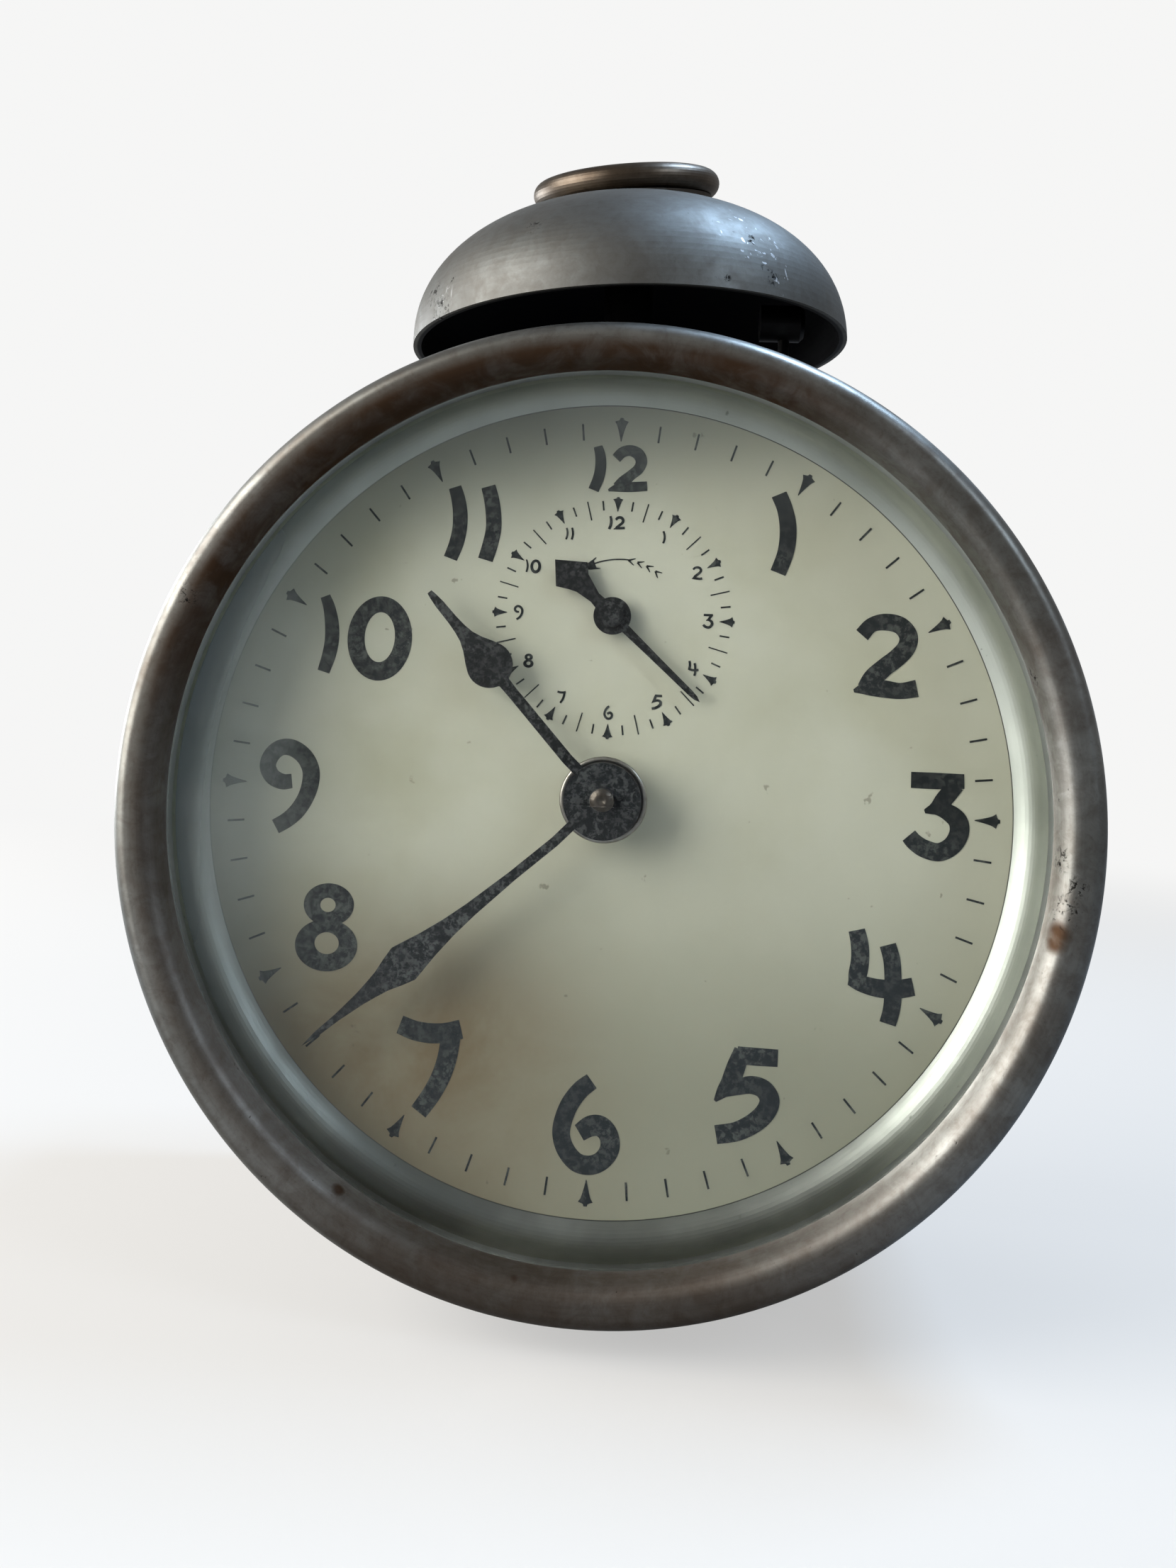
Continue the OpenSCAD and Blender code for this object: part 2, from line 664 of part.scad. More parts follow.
module hour_wheel() {
    color(brass) at_clock() difference() {
        union() {
            gear(centre, 40, hour_m, wheel_tooth, meshed(20, 40, 10, 20), hour_z[0], hour_z[1]);
            rod(centre, hour_z[0], 50.7, hour_pipe_r);
        }
        crossings(centre, 4, 9, 4, 2, 20, hour_z[0], hour_z[1]);
        rod(centre, 43, 52, 1.6 + fit);
    }
}

module hand_collet() {
    color(nickel) at_clock() rotate_extrude() polygon(concat([[hour_pipe_r, 49.3], [3.6, 49.3]],
        arc([4.35, 50.1], 0.8, -80, 0, 4), [[4.4, 50.1], [hour_pipe_r, 50.1]]));
}

module hour_hand() {
    side = concat([[0.68, 0], [0.66, 17], [0.72, 18.6]], arc([0, 21.4], 2.82, -72, 30, 9),
        [[2.1, 23.5], [1.42, 24.7], [0.94, 25.9], [0.72, 27.1], [0.6, 28.6], [0.55, hour_len - 2],
            [0.42, hour_len - 0.7], [0.3, hour_len]]);
    n = len(side);
    color(blued) at_clock() difference() {
        union() {
            rod(centre, 50.1, 50.6, 3.9);
            rotate(dial_angle(hours_shown / 12) - 90)
                plate_of(concat(side, [for (i = [n - 1:-1:0]) [-side[i][0], side[i][1]]]), 50.1, 50.5);
        }
        rod(centre, 49, 52, hour_pipe_r);
    }
}

module minute_wheel() {
    color(brass) at_clock() difference() {
        union() {
            gear(minute_at, 36, minute_m, wheel_tooth, 20 + 180, 43, 43.9);
            gear(minute_at, 10, hour_m, leaf_tooth, 20, 43.9, 46);
        }
        rod(minute_at, 42, 47, 1 + fit);
        crossings(minute_at, 3.6, 8.3, 4, 1.8, 0, 43, 43.9);
    }
}

module alarm_wheel() {
    hour_turn = meshed(20, 40, 10, 20);
    color(brass) at_clock() difference() {
        union() {
            gear(alarm_at, 40, hour_m, wheel_tooth, meshed(90, 40, 40, hour_turn), hour_z[0], hour_z[1]);
            rod(alarm_at, 43.9, hour_z[0], 3.2);
        }
        rod(alarm_at, 43, 47, arbor_r + fit);
        crossings(alarm_at, 4, 9, 4, 2, 45, hour_z[0], hour_z[1]);
        translate([alarm_at[0] - 4, alarm_at[1] - 0.5, 43]) cube([8, 1, 1.3]);
    }
}

module alarm_arbor() {
    color(steel) at_clock() {
        rod(alarm_at, -3, 49.2, arbor_r);
        rod(alarm_at, 45.8, 46.6, 1.8);
        translate([-2.6, alarm_y, 43.3]) rotate([0, 90, 0]) cylinder(r = 0.3, h = 5.2);
    }
}

module alarm_hand() {
    color(blued) at_clock() translate(alarm_at) difference() {
        union() {
            rod(centre, 48.6, 49.7, 1.4);
            rod(centre, 48.6, 49.1, 2.3);
            rotate(dial_angle(alarm_shown / 12)) plate_of([[-14.9, 0], [-14.2, -0.28], [-13.3, -0.36],
                [-7, -0.44], [-2, -0.56], [2, -0.9], [3.1, -0.82], [4.7, -1.3], [5.7, -1.6], [6.8, -2.55],
                [9.9, 0], [7.5, 2.25], [6.2, 1.45], [5.2, 0.97], [4.2, 0.8], [3.1, 0.62], [2, 0.75],
                [-2, 0.56], [-7, 0.44], [-13.3, 0.36], [-14.2, 0.28]], 48.6, 49);
        }
        rod(centre, 48, 49.2, arbor_r);
    }
}

module alarm_knob() {
    color(nickel) at_clock() {
        knurled(alarm_at, -5.4, -1.6, 4, arbor_r, 24);
        difference() {
            rod(alarm_at, -1.6, 0.8, 1.9);
            rod(alarm_at, -2, 2, arbor_r);
        }
    }
}

// Winding and the two great wheels

time_z = [37.7, 39.4];   // time great wheel
ring_z = [14.8, 16.5];   // alarm great wheel
time_ratchet_z = [36.2, 37.4];
ring_ratchet_z = [16.8, 18];
ratchet_r = 8;
click_d = 12.5;          // from a great wheel's middle to its click's pivot
click_angle = 35;        // between the click's pivot and its nose, round the wheel
nose_r = 8.29;

module winding_arbor(at) {
    rod(at, -4, back_plate_z + plate_t + gap, 1.8);
    rod(at, back_plate_z + plate_t + gap, front_plate_z - gap, 2);
    rod(at, front_plate_z - 1, front_plate_z + plate_t, 1);
    rod(at, 19.2, 33, core_r);
}

module ratchet(at, z, way) {
    difference() {
        translate(at) plate_of(saw_outline(24, [[ratchet_r - 1, 0], [ratchet_r, 0.08], [ratchet_r - 1, 0.96]], 0, way),
            z[0], z[1]);
        rod(at, z[0] - 1, z[1] + 1, 2);
    }
}

// Butterfly key with a wing on each side of its hub
module wing_key(at, turn) {
    translate([at[0], at[1], 0]) rotate(turn) difference() {
        union() {
            translate([0, 0, -8]) cylinder(r = 2.9, h = 9.6);
            rotate([90, 0, 0]) translate([0, 0, -0.8]) linear_extrude(1.6) {
                for (side = [-1, 1]) translate([side * 6.4, -7.4]) circle(r = 4.8);
                polygon([[-6.4, -11.6], [0, -9.6], [6.4, -11.6], [6.4, -3], [2.9, -1.6], [-2.9, -1.6], [-6.4, -3]]);
            }
        }
        translate([0, 0, -4]) cylinder(r = 1.8, h = 10);
        for (side = [-1, 1]) translate([side * 7, 0, -7.4]) rotate([90, 0, 0])
            translate([0, 0, -2]) cylinder(r = 1.5, h = 4);
    }
}

// Great wheel with the stud of its click and the riveted leaf that presses the click home
module great_wheel(at, n, z, click_z, front, click_dir, way, turn) {
    stud = front ? [z[1] - 0.5, click_z[1] + 0.1] : [click_z[0] - 0.1, z[0] + 0.5];
    head = front ? [click_z[1] + 0.1, click_z[1] + 0.6] : [click_z[0] - 0.6, click_z[0] - 0.1];
    rivet = front ? [z[1] - 0.5, click_z[1]] : [click_z[0], z[0] + 0.5];
    difference() {
        union() {
            gear(at, n, great_m, wheel_tooth, turn, z[0], z[1]);
            translate(at + polar(click_d, click_dir)) rotate(click_turn(click_dir, way)) {
                rod([0, 0], stud[0], stud[1], 1);
                rod([0, 0], head[0], head[1], 1.6);
                plate_of(strip([for (x = [1.5, 3.5, 5.5, 7.2]) [x, way * (4.3 - 0.02 * x * x)]], 0.3),
                    click_z[0], click_z[1]);
                rod([1.5, way * 4.3], rivet[0], rivet[1], 0.8);
            }
        }
        rod(at, z[0] - 3, z[1] + 3, 2 + fit);
        crossings(at, 4.6, great_m * n / 2 - 9.4, 5, 2, click_dir, z[0], z[1]);
    }
}

// Turn of a click's own X axis, which runs from its pivot to its nose
function click_turn(click_dir, way) =
    let (d = polar(nose_r, click_dir - way * click_angle) - polar(click_d, click_dir)) atan2(d[1], d[0]);

module click(at, z, click_dir, way) {
    translate(at + polar(click_d, click_dir)) rotate(click_turn(click_dir, way)) difference() {
        plate_of([for (p = [[-1.5, -1.2], [0, -1.8], [3.8, -1.1], [7.25, -0.2], [7.4, 0.4], [6.4, 1.3], [1.6, 1.8],
            [-0.8, 1.8], [-1.8, 0.6]]) [p[0], way * p[1]]], z[0], z[1]);
        rod([0, 0], z[0] - 1, z[1] + 1, 1 + fit);
    }
}

time_click_dir = 225;
ring_click_dir = 315;

module time_winding_arbor() { color(steel) at_clock() winding_arbor(time_at); }
module time_ratchet() { color(steel) at_clock() ratchet(time_at, time_ratchet_z, 1); }
module time_key() { color(nickel) at_clock() wing_key(time_at, 20); }
module time_click() { color(steel) at_clock() click(time_at, time_ratchet_z, time_click_dir, 1); }
module time_great_wheel() {
    color(brass) at_clock() great_wheel(time_at, 54, time_z, time_ratchet_z, false, time_click_dir, 1, 42);
}

module alarm_winding_arbor() { color(steel) at_clock() winding_arbor(ring_at); }
module alarm_ratchet() { color(steel) at_clock() ratchet(ring_at, ring_ratchet_z, -1); }
module alarm_key() { color(nickel) at_clock() wing_key(ring_at, -25); }
module alarm_click() { color(steel) at_clock() click(ring_at, ring_ratchet_z, ring_click_dir, -1); }
module alarm_great_wheel() {
    color(brass) at_clock() great_wheel(ring_at, 48, ring_z, ring_ratchet_z, true, ring_click_dir, -1, 70);
}

// Going train, each wheel turned so that its teeth meet the pinion before it

pinion_turn = meshed(42, 9, 54, 42);
third_turn = meshed(150, 8, 64, 150);
fourth_turn = meshed(80, 8, 60, 80);
escape_turn = meshed(175, 7, 56, 175);

module centre_wheel() {
    color(brass) at_clock() difference() {
        union() {
            gear(centre, 64, centre_m, wheel_tooth, 150, 33.9, 35);
            gear(centre, 9, great_m, leaf_tooth, pinion_turn, 36.9, 40.2);
            rod(centre, 32.8, 36.9, 2.2);
        }
        crossings(centre, 4.2, 13.4, 4, 2, 15, 33.9, 35);
        rod(centre, 31, 42, 1.2 + fit);
    }
}

module third_wheel() {
    color(brass) at_clock() {
        difference() {
            gear(third_at, 60, third_m, wheel_tooth, 80, 16, 17.1);
            crossings(third_at, 3, 11.2, 4, 1.8, 80, 16, 17.1);
        }
        rod(third_at, 15.4, 18.4, 1.9);
        gear(third_at, 8, centre_m, leaf_tooth, third_turn, 32.6, 36.2);
        plain_arbor(third_at);
    }
}

module fourth_wheel() {
    color(brass) at_clock() {
        difference() {
            gear(fourth_at, 56, fourth_m, wheel_tooth, 175, 37.7, 38.6);
            crossings(fourth_at, 2.6, 9.2, 4, 1.6, 20, 37.7, 38.6);
        }
        rod(fourth_at, 36.6, 39.2, 1.7);
        gear(fourth_at, 8, third_m, leaf_tooth, fourth_turn, 14.9, 18.4);
        plain_arbor(fourth_at);
    }
}

escape_r = 6.5;
escape_z = [32, 33];

module escape_wheel() {
    color(brass) at_clock() {
        difference() {
            translate(escape_at) plate_of(saw_outline(15, [[4.6, 0], [escape_r, 0.42], [escape_r, 0.5], [4.7, 0.55]],
                0, -1), escape_z[0], escape_z[1]);
            crossings(escape_at, 1.9, 3.9, 4, 1.1, 30, escape_z[0], escape_z[1]);
        }
        gear(escape_at, 7, fourth_m, leaf_tooth, escape_turn, 36.6, 39.6);
        rod(escape_at, 31.2, 34, 1.4);
        rod(escape_at, back_plate_z + 0.2, front_plate_z + plate_t - 0.2, pivot_r);
        rod(escape_at, back_plate_z + plate_t + gap, front_plate_z - gap, 0.7);
    }
}

lever_z = [30.2, 31.2];
pallet_r = 0.35;

// Lever with two pallet pins beside the escape wheel and a fork beside the balance staff
module pallet_lever() {
    pin_out = escape_r + pallet_r + 0.45;
    pins = [for (s = [-1, 1]) [8.2 - pin_out * cos(30), s * pin_out * sin(30)]];
    color(steel) at_clock() translate(lever_at) rotate(lever_dir + 180) {
        difference() {
            plate_of([[1.6, 0], pins[1] + [-0.5, 0.9], pins[1] + [-1.2, -0.2], [-0.6, 1.5], [-1.8, 0.8],
                [-8.6, 0.45], [-9.4, 1.5], [-10.6, 1.5], [-10.6, -1.5], [-9.4, -1.5], [-8.6, -0.45],
                [-1.8, -0.8], [-0.6, -1.5], pins[0] + [-1.2, 0.2], pins[0] + [-0.5, -0.9]], lever_z[0], lever_z[1]);
            translate([-12, -0.5, lever_z[0] - 1]) cube([2.6, 1, 3]);
        }
        for (p = pins) {
            rod(p, lever_z[0], escape_z[1] + 0.6, pallet_r);
            rod(p, lever_z[0], lever_z[1], 0.8);
        }
        rod(centre, back_plate_z + 0.2, front_plate_z + plate_t - 0.2, pivot_r);
        rod(centre, back_plate_z + plate_t + gap, front_plate_z - gap, 0.65);
        rod(centre, lever_z[0] - 0.6, lever_z[1] + 0.6, 1.3);
    }
}

balance_r = 9.8;
balance_z = [24, 25.6];

module balance_wheel() {
    color(brass) at_clock() {
        difference() {
            rod(balance_at, balance_z[0], balance_z[1], balance_r);
            crossings(balance_at, 2, balance_r - 1.4, 2, 1.6, lever_dir, balance_z[0], balance_z[1]);
        }
        rod(balance_at, 13.9, front_plate_z - 0.4, 0.4);
        rod(balance_at, 15.2, 39.4, arbor_r);
        rod(balance_at, hair_z[0] - 0.4, hair_z[1] + 0.4, hair_in - hair_t / 2 - fit);
        rod(balance_at, 28.2, 29.2, 2.7);
        rod(balance_at + polar(2, lever_dir + 180), 29, 29.9, 0.35);
    }
}

// Ringing work

ring_escape_r = 8;
ring_escape_z = [36.6, 38.2];
anchor_z = [38.8, 39.8];

module alarm_escape_wheel() {
    turn = meshed(70, 8, 48, 70);
    color(brass) at_clock() {
        difference() {
            translate(ring_escape_at) plate_of(saw_outline(16, [[6, 0], [ring_escape_r, 0.3], [ring_escape_r, 0.42],
                [6, 0.62]], 0, 1), ring_escape_z[0], ring_escape_z[1]);
            crossings(ring_escape_at, 2.2, 5, 4, 1.4, 10, ring_escape_z[0], ring_escape_z[1]);
        }
        gear(ring_escape_at, 8, great_m, leaf_tooth, turn, 14, 17.3);
        plain_arbor(ring_escape_at);
    }
}

module alarm_verge() {
    pin_out = ring_escape_r + 1.35;
    pins = [for (s = [-1, 1]) ring_escape_at + polar(pin_out, 95 + s * 38)];
    color(steel) at_clock() {
        plate_of(concat(arc(verge_at, 1.9, 10, 180, 6), [pins[1] + [-0.9, 0.2], pins[1] + [0.3, -0.8],
            verge_at + [-0.4, -1.2], verge_at + [0.7, -1.1], pins[0] + [-0.3, -0.9], pins[0] + [0.9, 0.1]]),
            anchor_z[0], anchor_z[1]);
        for (p = pins) rod(p, ring_escape_z[0] - 0.3, anchor_z[1], 0.35);
        plain_arbor(verge_at);
    }
}

hammer_head = [21.3, 66.5];
hammer_r = 2.6;

module hammer() {
    arm = hammer_head - verge_at;
    color(steel) at_clock() {
        difference() {
            rod(verge_at, bell_z - 1.6, bell_z + 1.6, 2);
            rod(verge_at, bell_z - 3, bell_z + 3, arbor_r);
        }
        difference() {
            translate([verge_at[0], verge_at[1], bell_z]) rotate(atan2(arm[1], arm[0]) - 90)
                rotate([-90, 0, 0]) cylinder(r = 0.8, h = norm(arm));
            rod(verge_at, bell_z - 3, bell_z + 3, 1.5);
        }
        translate([hammer_head[0], hammer_head[1], bell_z]) rotate([0, 90, 0]) {
            translate([0, 0, -3.4]) cylinder(r = hammer_r, h = 5.6);
            translate([0, 0, 2.2]) cylinder(r1 = hammer_r, r2 = hammer_r - 0.6, h = 0.6);
        }
    }
}

lever_plane = [back_plate_z - 1.2, back_plate_z - 0.4];

// Narrow tab that passes back through the cover
module tab(at, r, dir, w) {
    translate([at[0], at[1], -1.6]) rotate(dir) translate([r - 0.4, -w / 2, 0])
        cube([0.8, w, lever_plane[1] + 1.6]);
}

module silence_lever() {
    pin = polar(silence_pin_r, silence_pin_a);
    color(steel) at_clock() {
        difference() {
            union() {
                rod(silence_at, lever_plane[0], lever_plane[1], 2.8);
                translate(silence_at) plate_of([[-1.2, 0], [-1.2, 2], polar(silence_r + 0.4, 80) + [-1.2, 0.2],
                    polar(silence_r + 0.4, 80) + [1.2, -0.2], [1.6, 2], pin + [0.8, 1], pin + [-0.6, -1], [0, -2.4]],
                    lever_plane[0], lever_plane[1]);
            }
            rod(silence_at, lever_plane[0] - 1, lever_plane[1] + 1, 1.4 + fit);
        }
        tab(silence_at, silence_r, 80, 2.4);
        rod(silence_at + pin, lever_plane[0], 28, 0.8);
        rod(silence_at + pin, lever_plane[0], lever_plane[1], 1.4);
    }
}

module regulator() {
    pins = [for (r = [hair_r - 0.4, hair_r + 0.4]) balance_at + polar(r, pin_slot_dir)];
    color(steel) at_clock() {
        difference() {
            union() {
                rod(balance_at, lever_plane[0], lever_plane[1], 3.6);
                translate([balance_at[0] - 1.3, balance_at[1], lever_plane[0]]) cube([2.6, tab_r + 0.4, 0.8]);
                translate([balance_at[0], balance_at[1], lever_plane[0]]) rotate(pin_slot_dir)
                    translate([0, -0.9, 0]) cube([hair_r + 1.2, 1.8, 0.8]);
            }
            rod(balance_at, lever_plane[0] - 1, lever_plane[1] + 1, 1.6 + fit);
        }
        tab(balance_at, tab_r, 90, 2.6);
        for (p = pins) rod(p, lever_plane[0], hair_z[1] + 0.4, 0.2);
    }
}

case_drum();
front_rim();
glass();
sight_ring();
dial_plate();
back_cover();
back_screws();
foot_left();
foot_right();
foot_rear();
foot_nuts();
bell_post();
bell();
bell_cap();
bell_nut();
front_plate();
back_plate();
pillars();
pillar_nuts();
rear_posts();
pivot_screws();
time_mainspring();
alarm_mainspring();
hairspring();
hairspring_stud();
release_spring();
centre_arbor();
cannon_pinion();
friction_spring();
minute_hand();
set_knob();
hour_wheel();
hand_collet();
hour_hand();
minute_wheel();
alarm_wheel();
alarm_arbor();
alarm_hand();
alarm_knob();
time_winding_arbor();
time_ratchet();
time_key();
time_great_wheel();
time_click();
alarm_winding_arbor();
alarm_ratchet();
alarm_key();
alarm_great_wheel();
alarm_click();
centre_wheel();
third_wheel();
fourth_wheel();
escape_wheel();
pallet_lever();
balance_wheel();
alarm_escape_wheel();
alarm_verge();
hammer();
silence_lever();
regulator();
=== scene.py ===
import bpy
import bmesh
import math
import numpy as np
from mathutils import Matrix, Vector


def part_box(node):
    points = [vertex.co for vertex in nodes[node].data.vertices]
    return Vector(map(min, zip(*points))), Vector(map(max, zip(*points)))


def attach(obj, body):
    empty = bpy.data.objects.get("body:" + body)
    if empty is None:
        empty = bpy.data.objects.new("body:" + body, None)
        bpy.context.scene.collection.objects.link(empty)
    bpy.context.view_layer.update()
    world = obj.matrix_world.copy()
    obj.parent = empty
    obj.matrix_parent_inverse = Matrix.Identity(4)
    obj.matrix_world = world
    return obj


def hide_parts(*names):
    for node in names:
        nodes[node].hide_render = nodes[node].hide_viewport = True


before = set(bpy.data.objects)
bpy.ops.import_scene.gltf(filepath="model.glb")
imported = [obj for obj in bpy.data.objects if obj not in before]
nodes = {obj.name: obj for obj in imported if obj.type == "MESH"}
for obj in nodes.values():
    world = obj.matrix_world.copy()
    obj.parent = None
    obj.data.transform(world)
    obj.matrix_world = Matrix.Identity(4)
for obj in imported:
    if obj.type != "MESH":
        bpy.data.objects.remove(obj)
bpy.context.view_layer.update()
mm = 0.001
dialLow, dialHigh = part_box("dial_plate")
dialMiddle = np.array([(dialLow[0] + dialHigh[0]) / 2, dialLow[1], (dialLow[2] + dialHigh[2]) / 2])
print("frame loaded:", len(nodes), "nodes")


# Camera: the photograph's viewpoint, close in front of the dial

viewpoint = {
    "place": (7.86 * mm, -184.4 * mm, 72.6 * mm),
    "turn": (-0.1005, 0.0626, 0.0454),   # axis times angle, from a level view along +Y
    "focalPx": 1835,
    "axisPx": (838.4, 802.6),            # where the lens's axis meets the picture
    "pictureX": 1659,
    "pictureY": 2212,
}


def addCamera(view):
    # turn = B' R' D: B lays the picture's axes on the world's, R is the turn, D flips to Blender's axes
    lay = Matrix(((1, 0, 0), (0, 0, -1), (0, 1, 0)))
    flip = Matrix(((1, 0, 0), (0, -1, 0), (0, 0, -1)))
    axis = Vector(view["turn"])
    turn = Matrix.Rotation(axis.length, 3, axis.normalized())
    data = bpy.data.cameras.new("camera")
    data.sensor_width = 36
    data.lens = 36 * view["focalPx"] / view["pictureY"]
    data.shift_x = (view["pictureX"] / 2 - view["axisPx"][0]) / view["pictureY"]
    data.shift_y = (view["axisPx"][1] - view["pictureY"] / 2) / view["pictureY"]
    data.clip_start = 0.005
    camera = bpy.data.objects.new("camera", data)
    camera.matrix_world = Matrix.Translation(view["place"]) @ (flip @ turn @ lay).transposed().to_4x4()
    bpy.context.scene.collection.objects.link(camera)
    bpy.context.scene.camera = camera


addCamera(viewpoint)
bpy.context.scene.view_settings.view_transform = "Standard"
print("camera set")


# Meshes from arrays

def makeMesh(name, points, faces, smooth=True):
    # points: n x 3 in metres, faces: lists of corners or an m x 4 array
    mesh = bpy.data.meshes.new(name)
    faceList = faces.tolist() if isinstance(faces, np.ndarray) else faces
    mesh.from_pydata(np.asarray(points, float).tolist(), [], faceList)
    mesh.polygons.foreach_set("use_smooth", np.full(len(mesh.polygons), smooth))
    mesh.update()
    piece = bpy.data.objects.new(name, mesh)
    bpy.context.scene.collection.objects.link(piece)
    return piece


def gridFaces(rows, cols, wrapRows=False, wrapCols=False, first=0):
    # quads between neighbours of a rows x cols grid of points
    r = np.arange(rows if wrapRows else rows - 1)[:, None]
    c = np.arange(cols if wrapCols else cols - 1)[None, :]
    nextR, nextC = (r + 1) % rows, (c + 1) % cols
    quad = np.stack([r * cols + c, r * cols + nextC, nextR * cols + nextC, nextR * cols + c], -1)
    return quad.reshape(-1, 4) + first


def tidyMesh(piece):
    # closes seams and poles, and points the faces outwards
    work = bmesh.new()
    work.from_mesh(piece.data)
    bmesh.ops.remove_doubles(work, verts=work.verts, dist=1e-7)
    bmesh.ops.dissolve_degenerate(work, edges=work.edges, dist=1e-8)
    bmesh.ops.recalc_face_normals(work, faces=work.faces)
    work.to_mesh(piece.data)
    work.free()
    return piece


def smoothPath(knots, perSpan=8):
    # Catmull-Rom through the knots: p(t) = half the sum of four neighbours, each weighted by powers of t
    k = np.asarray(knots, float)
    k = np.vstack([2 * k[0] - k[1], k, 2 * k[-1] - k[-2]])
    t = np.linspace(0, 1, perSpan, endpoint=False)[None, :, None]
    a, b, c, d = (k[i:len(k) - 3 + i][:, None, :] for i in range(4))
    square = (2 * a - 5 * b + 4 * c - d) * t ** 2
    cube = (3 * b - a - 3 * c + d) * t ** 3
    spans = 0.5 * (2 * b + (c - a) * t + square + cube)
    return np.vstack([spans.reshape(-1, k.shape[1]), k[-2]])


# Materials: shared effects

def newGroup(name, inputs, outputs):
    group = bpy.data.node_groups.new(name, "ShaderNodeTree")
    for socketName, kind, value in inputs:
        socket = group.interface.new_socket(socketName, in_out="INPUT", socket_type=kind)
        if value is not None:
            socket.default_value = value
    for socketName, kind in outputs:
        group.interface.new_socket(socketName, in_out="OUTPUT", socket_type=kind)
    return group, group.nodes.new("NodeGroupInput"), group.nodes.new("NodeGroupOutput")


def put(tree, kind, values=None, **settings):
    # one node: settings are its properties, values its sockets, each a number, a colour or a socket to link
    made = tree.nodes.new(kind)
    for key, value in settings.items():
        setattr(made, key, value)
    for key, value in (values or {}).items():
        if isinstance(value, bpy.types.NodeSocket):
            tree.links.new(value, made.inputs[key])
        else:
            made.inputs[key].default_value = value
    return made


def noiseOf(tree, vector, scale, detail=4.0, rough=0.55, warp=0.0):
    return put(tree, "ShaderNodeTexNoise", {"Vector": vector, "Scale": scale, "Detail": detail,
                                            "Roughness": rough, "Distortion": warp}).outputs["Fac"]


def ramp(tree, value, low, high, outLow=0.0, outHigh=1.0):
    return put(tree, "ShaderNodeMapRange", {"Value": value, "From Min": low, "From Max": high,
                                            "To Min": outLow, "To Max": outHigh},
               interpolation_type="SMOOTHSTEP").outputs["Result"]


def sums(tree, operation, a, b=0.0, c=0.0, clamp=False):
    return put(tree, "ShaderNodeMath", {0: a, 1: b, 2: c}, operation=operation, use_clamp=clamp).outputs[0]


def blendColours(tree, mask, a, b):
    mix = put(tree, "ShaderNodeMix", data_type="RGBA")
    for index, value in ((0, mask), (6, a), (7, b)):
        if isinstance(value, bpy.types.NodeSocket):
            tree.links.new(value, mix.inputs[index])
        else:
            mix.inputs[index].default_value = value
    return mix.outputs[2]


def stretch(tree, vector, factors):
    return put(tree, "ShaderNodeVectorMath", {0: vector, 1: factors}, operation="MULTIPLY").outputs[0]


def colour(red, green, blue):
    # screen values 0..255 to linear light
    def linear(v):
        v /= 255
        return v / 12.92 if v <= 0.04045 else ((v + 0.055) / 1.055) ** 2.4
    return (linear(red), linear(green), linear(blue), 1.0)


def inMm(span):
    return [value * mm for value in span]


# Noise scales per metre of the old metal's marks, and the lengthening of its two sets of scratches
patinaLook = {"fine": 1500.0, "patches": 210.0, "pits": 820.0, "groupedPits": 1300.0, "mottle": 420.0,
              "scratches": 1500.0, "scratchesDown": 1300.0, "acrossStretch": (0.10, 1.0, 0.75),
              "downStretch": (0.9, 1.0, 0.12), "bare": (0.62, 0.63, 0.64, 1),
              "pitBlack": (0.010, 0.009, 0.008, 1)}


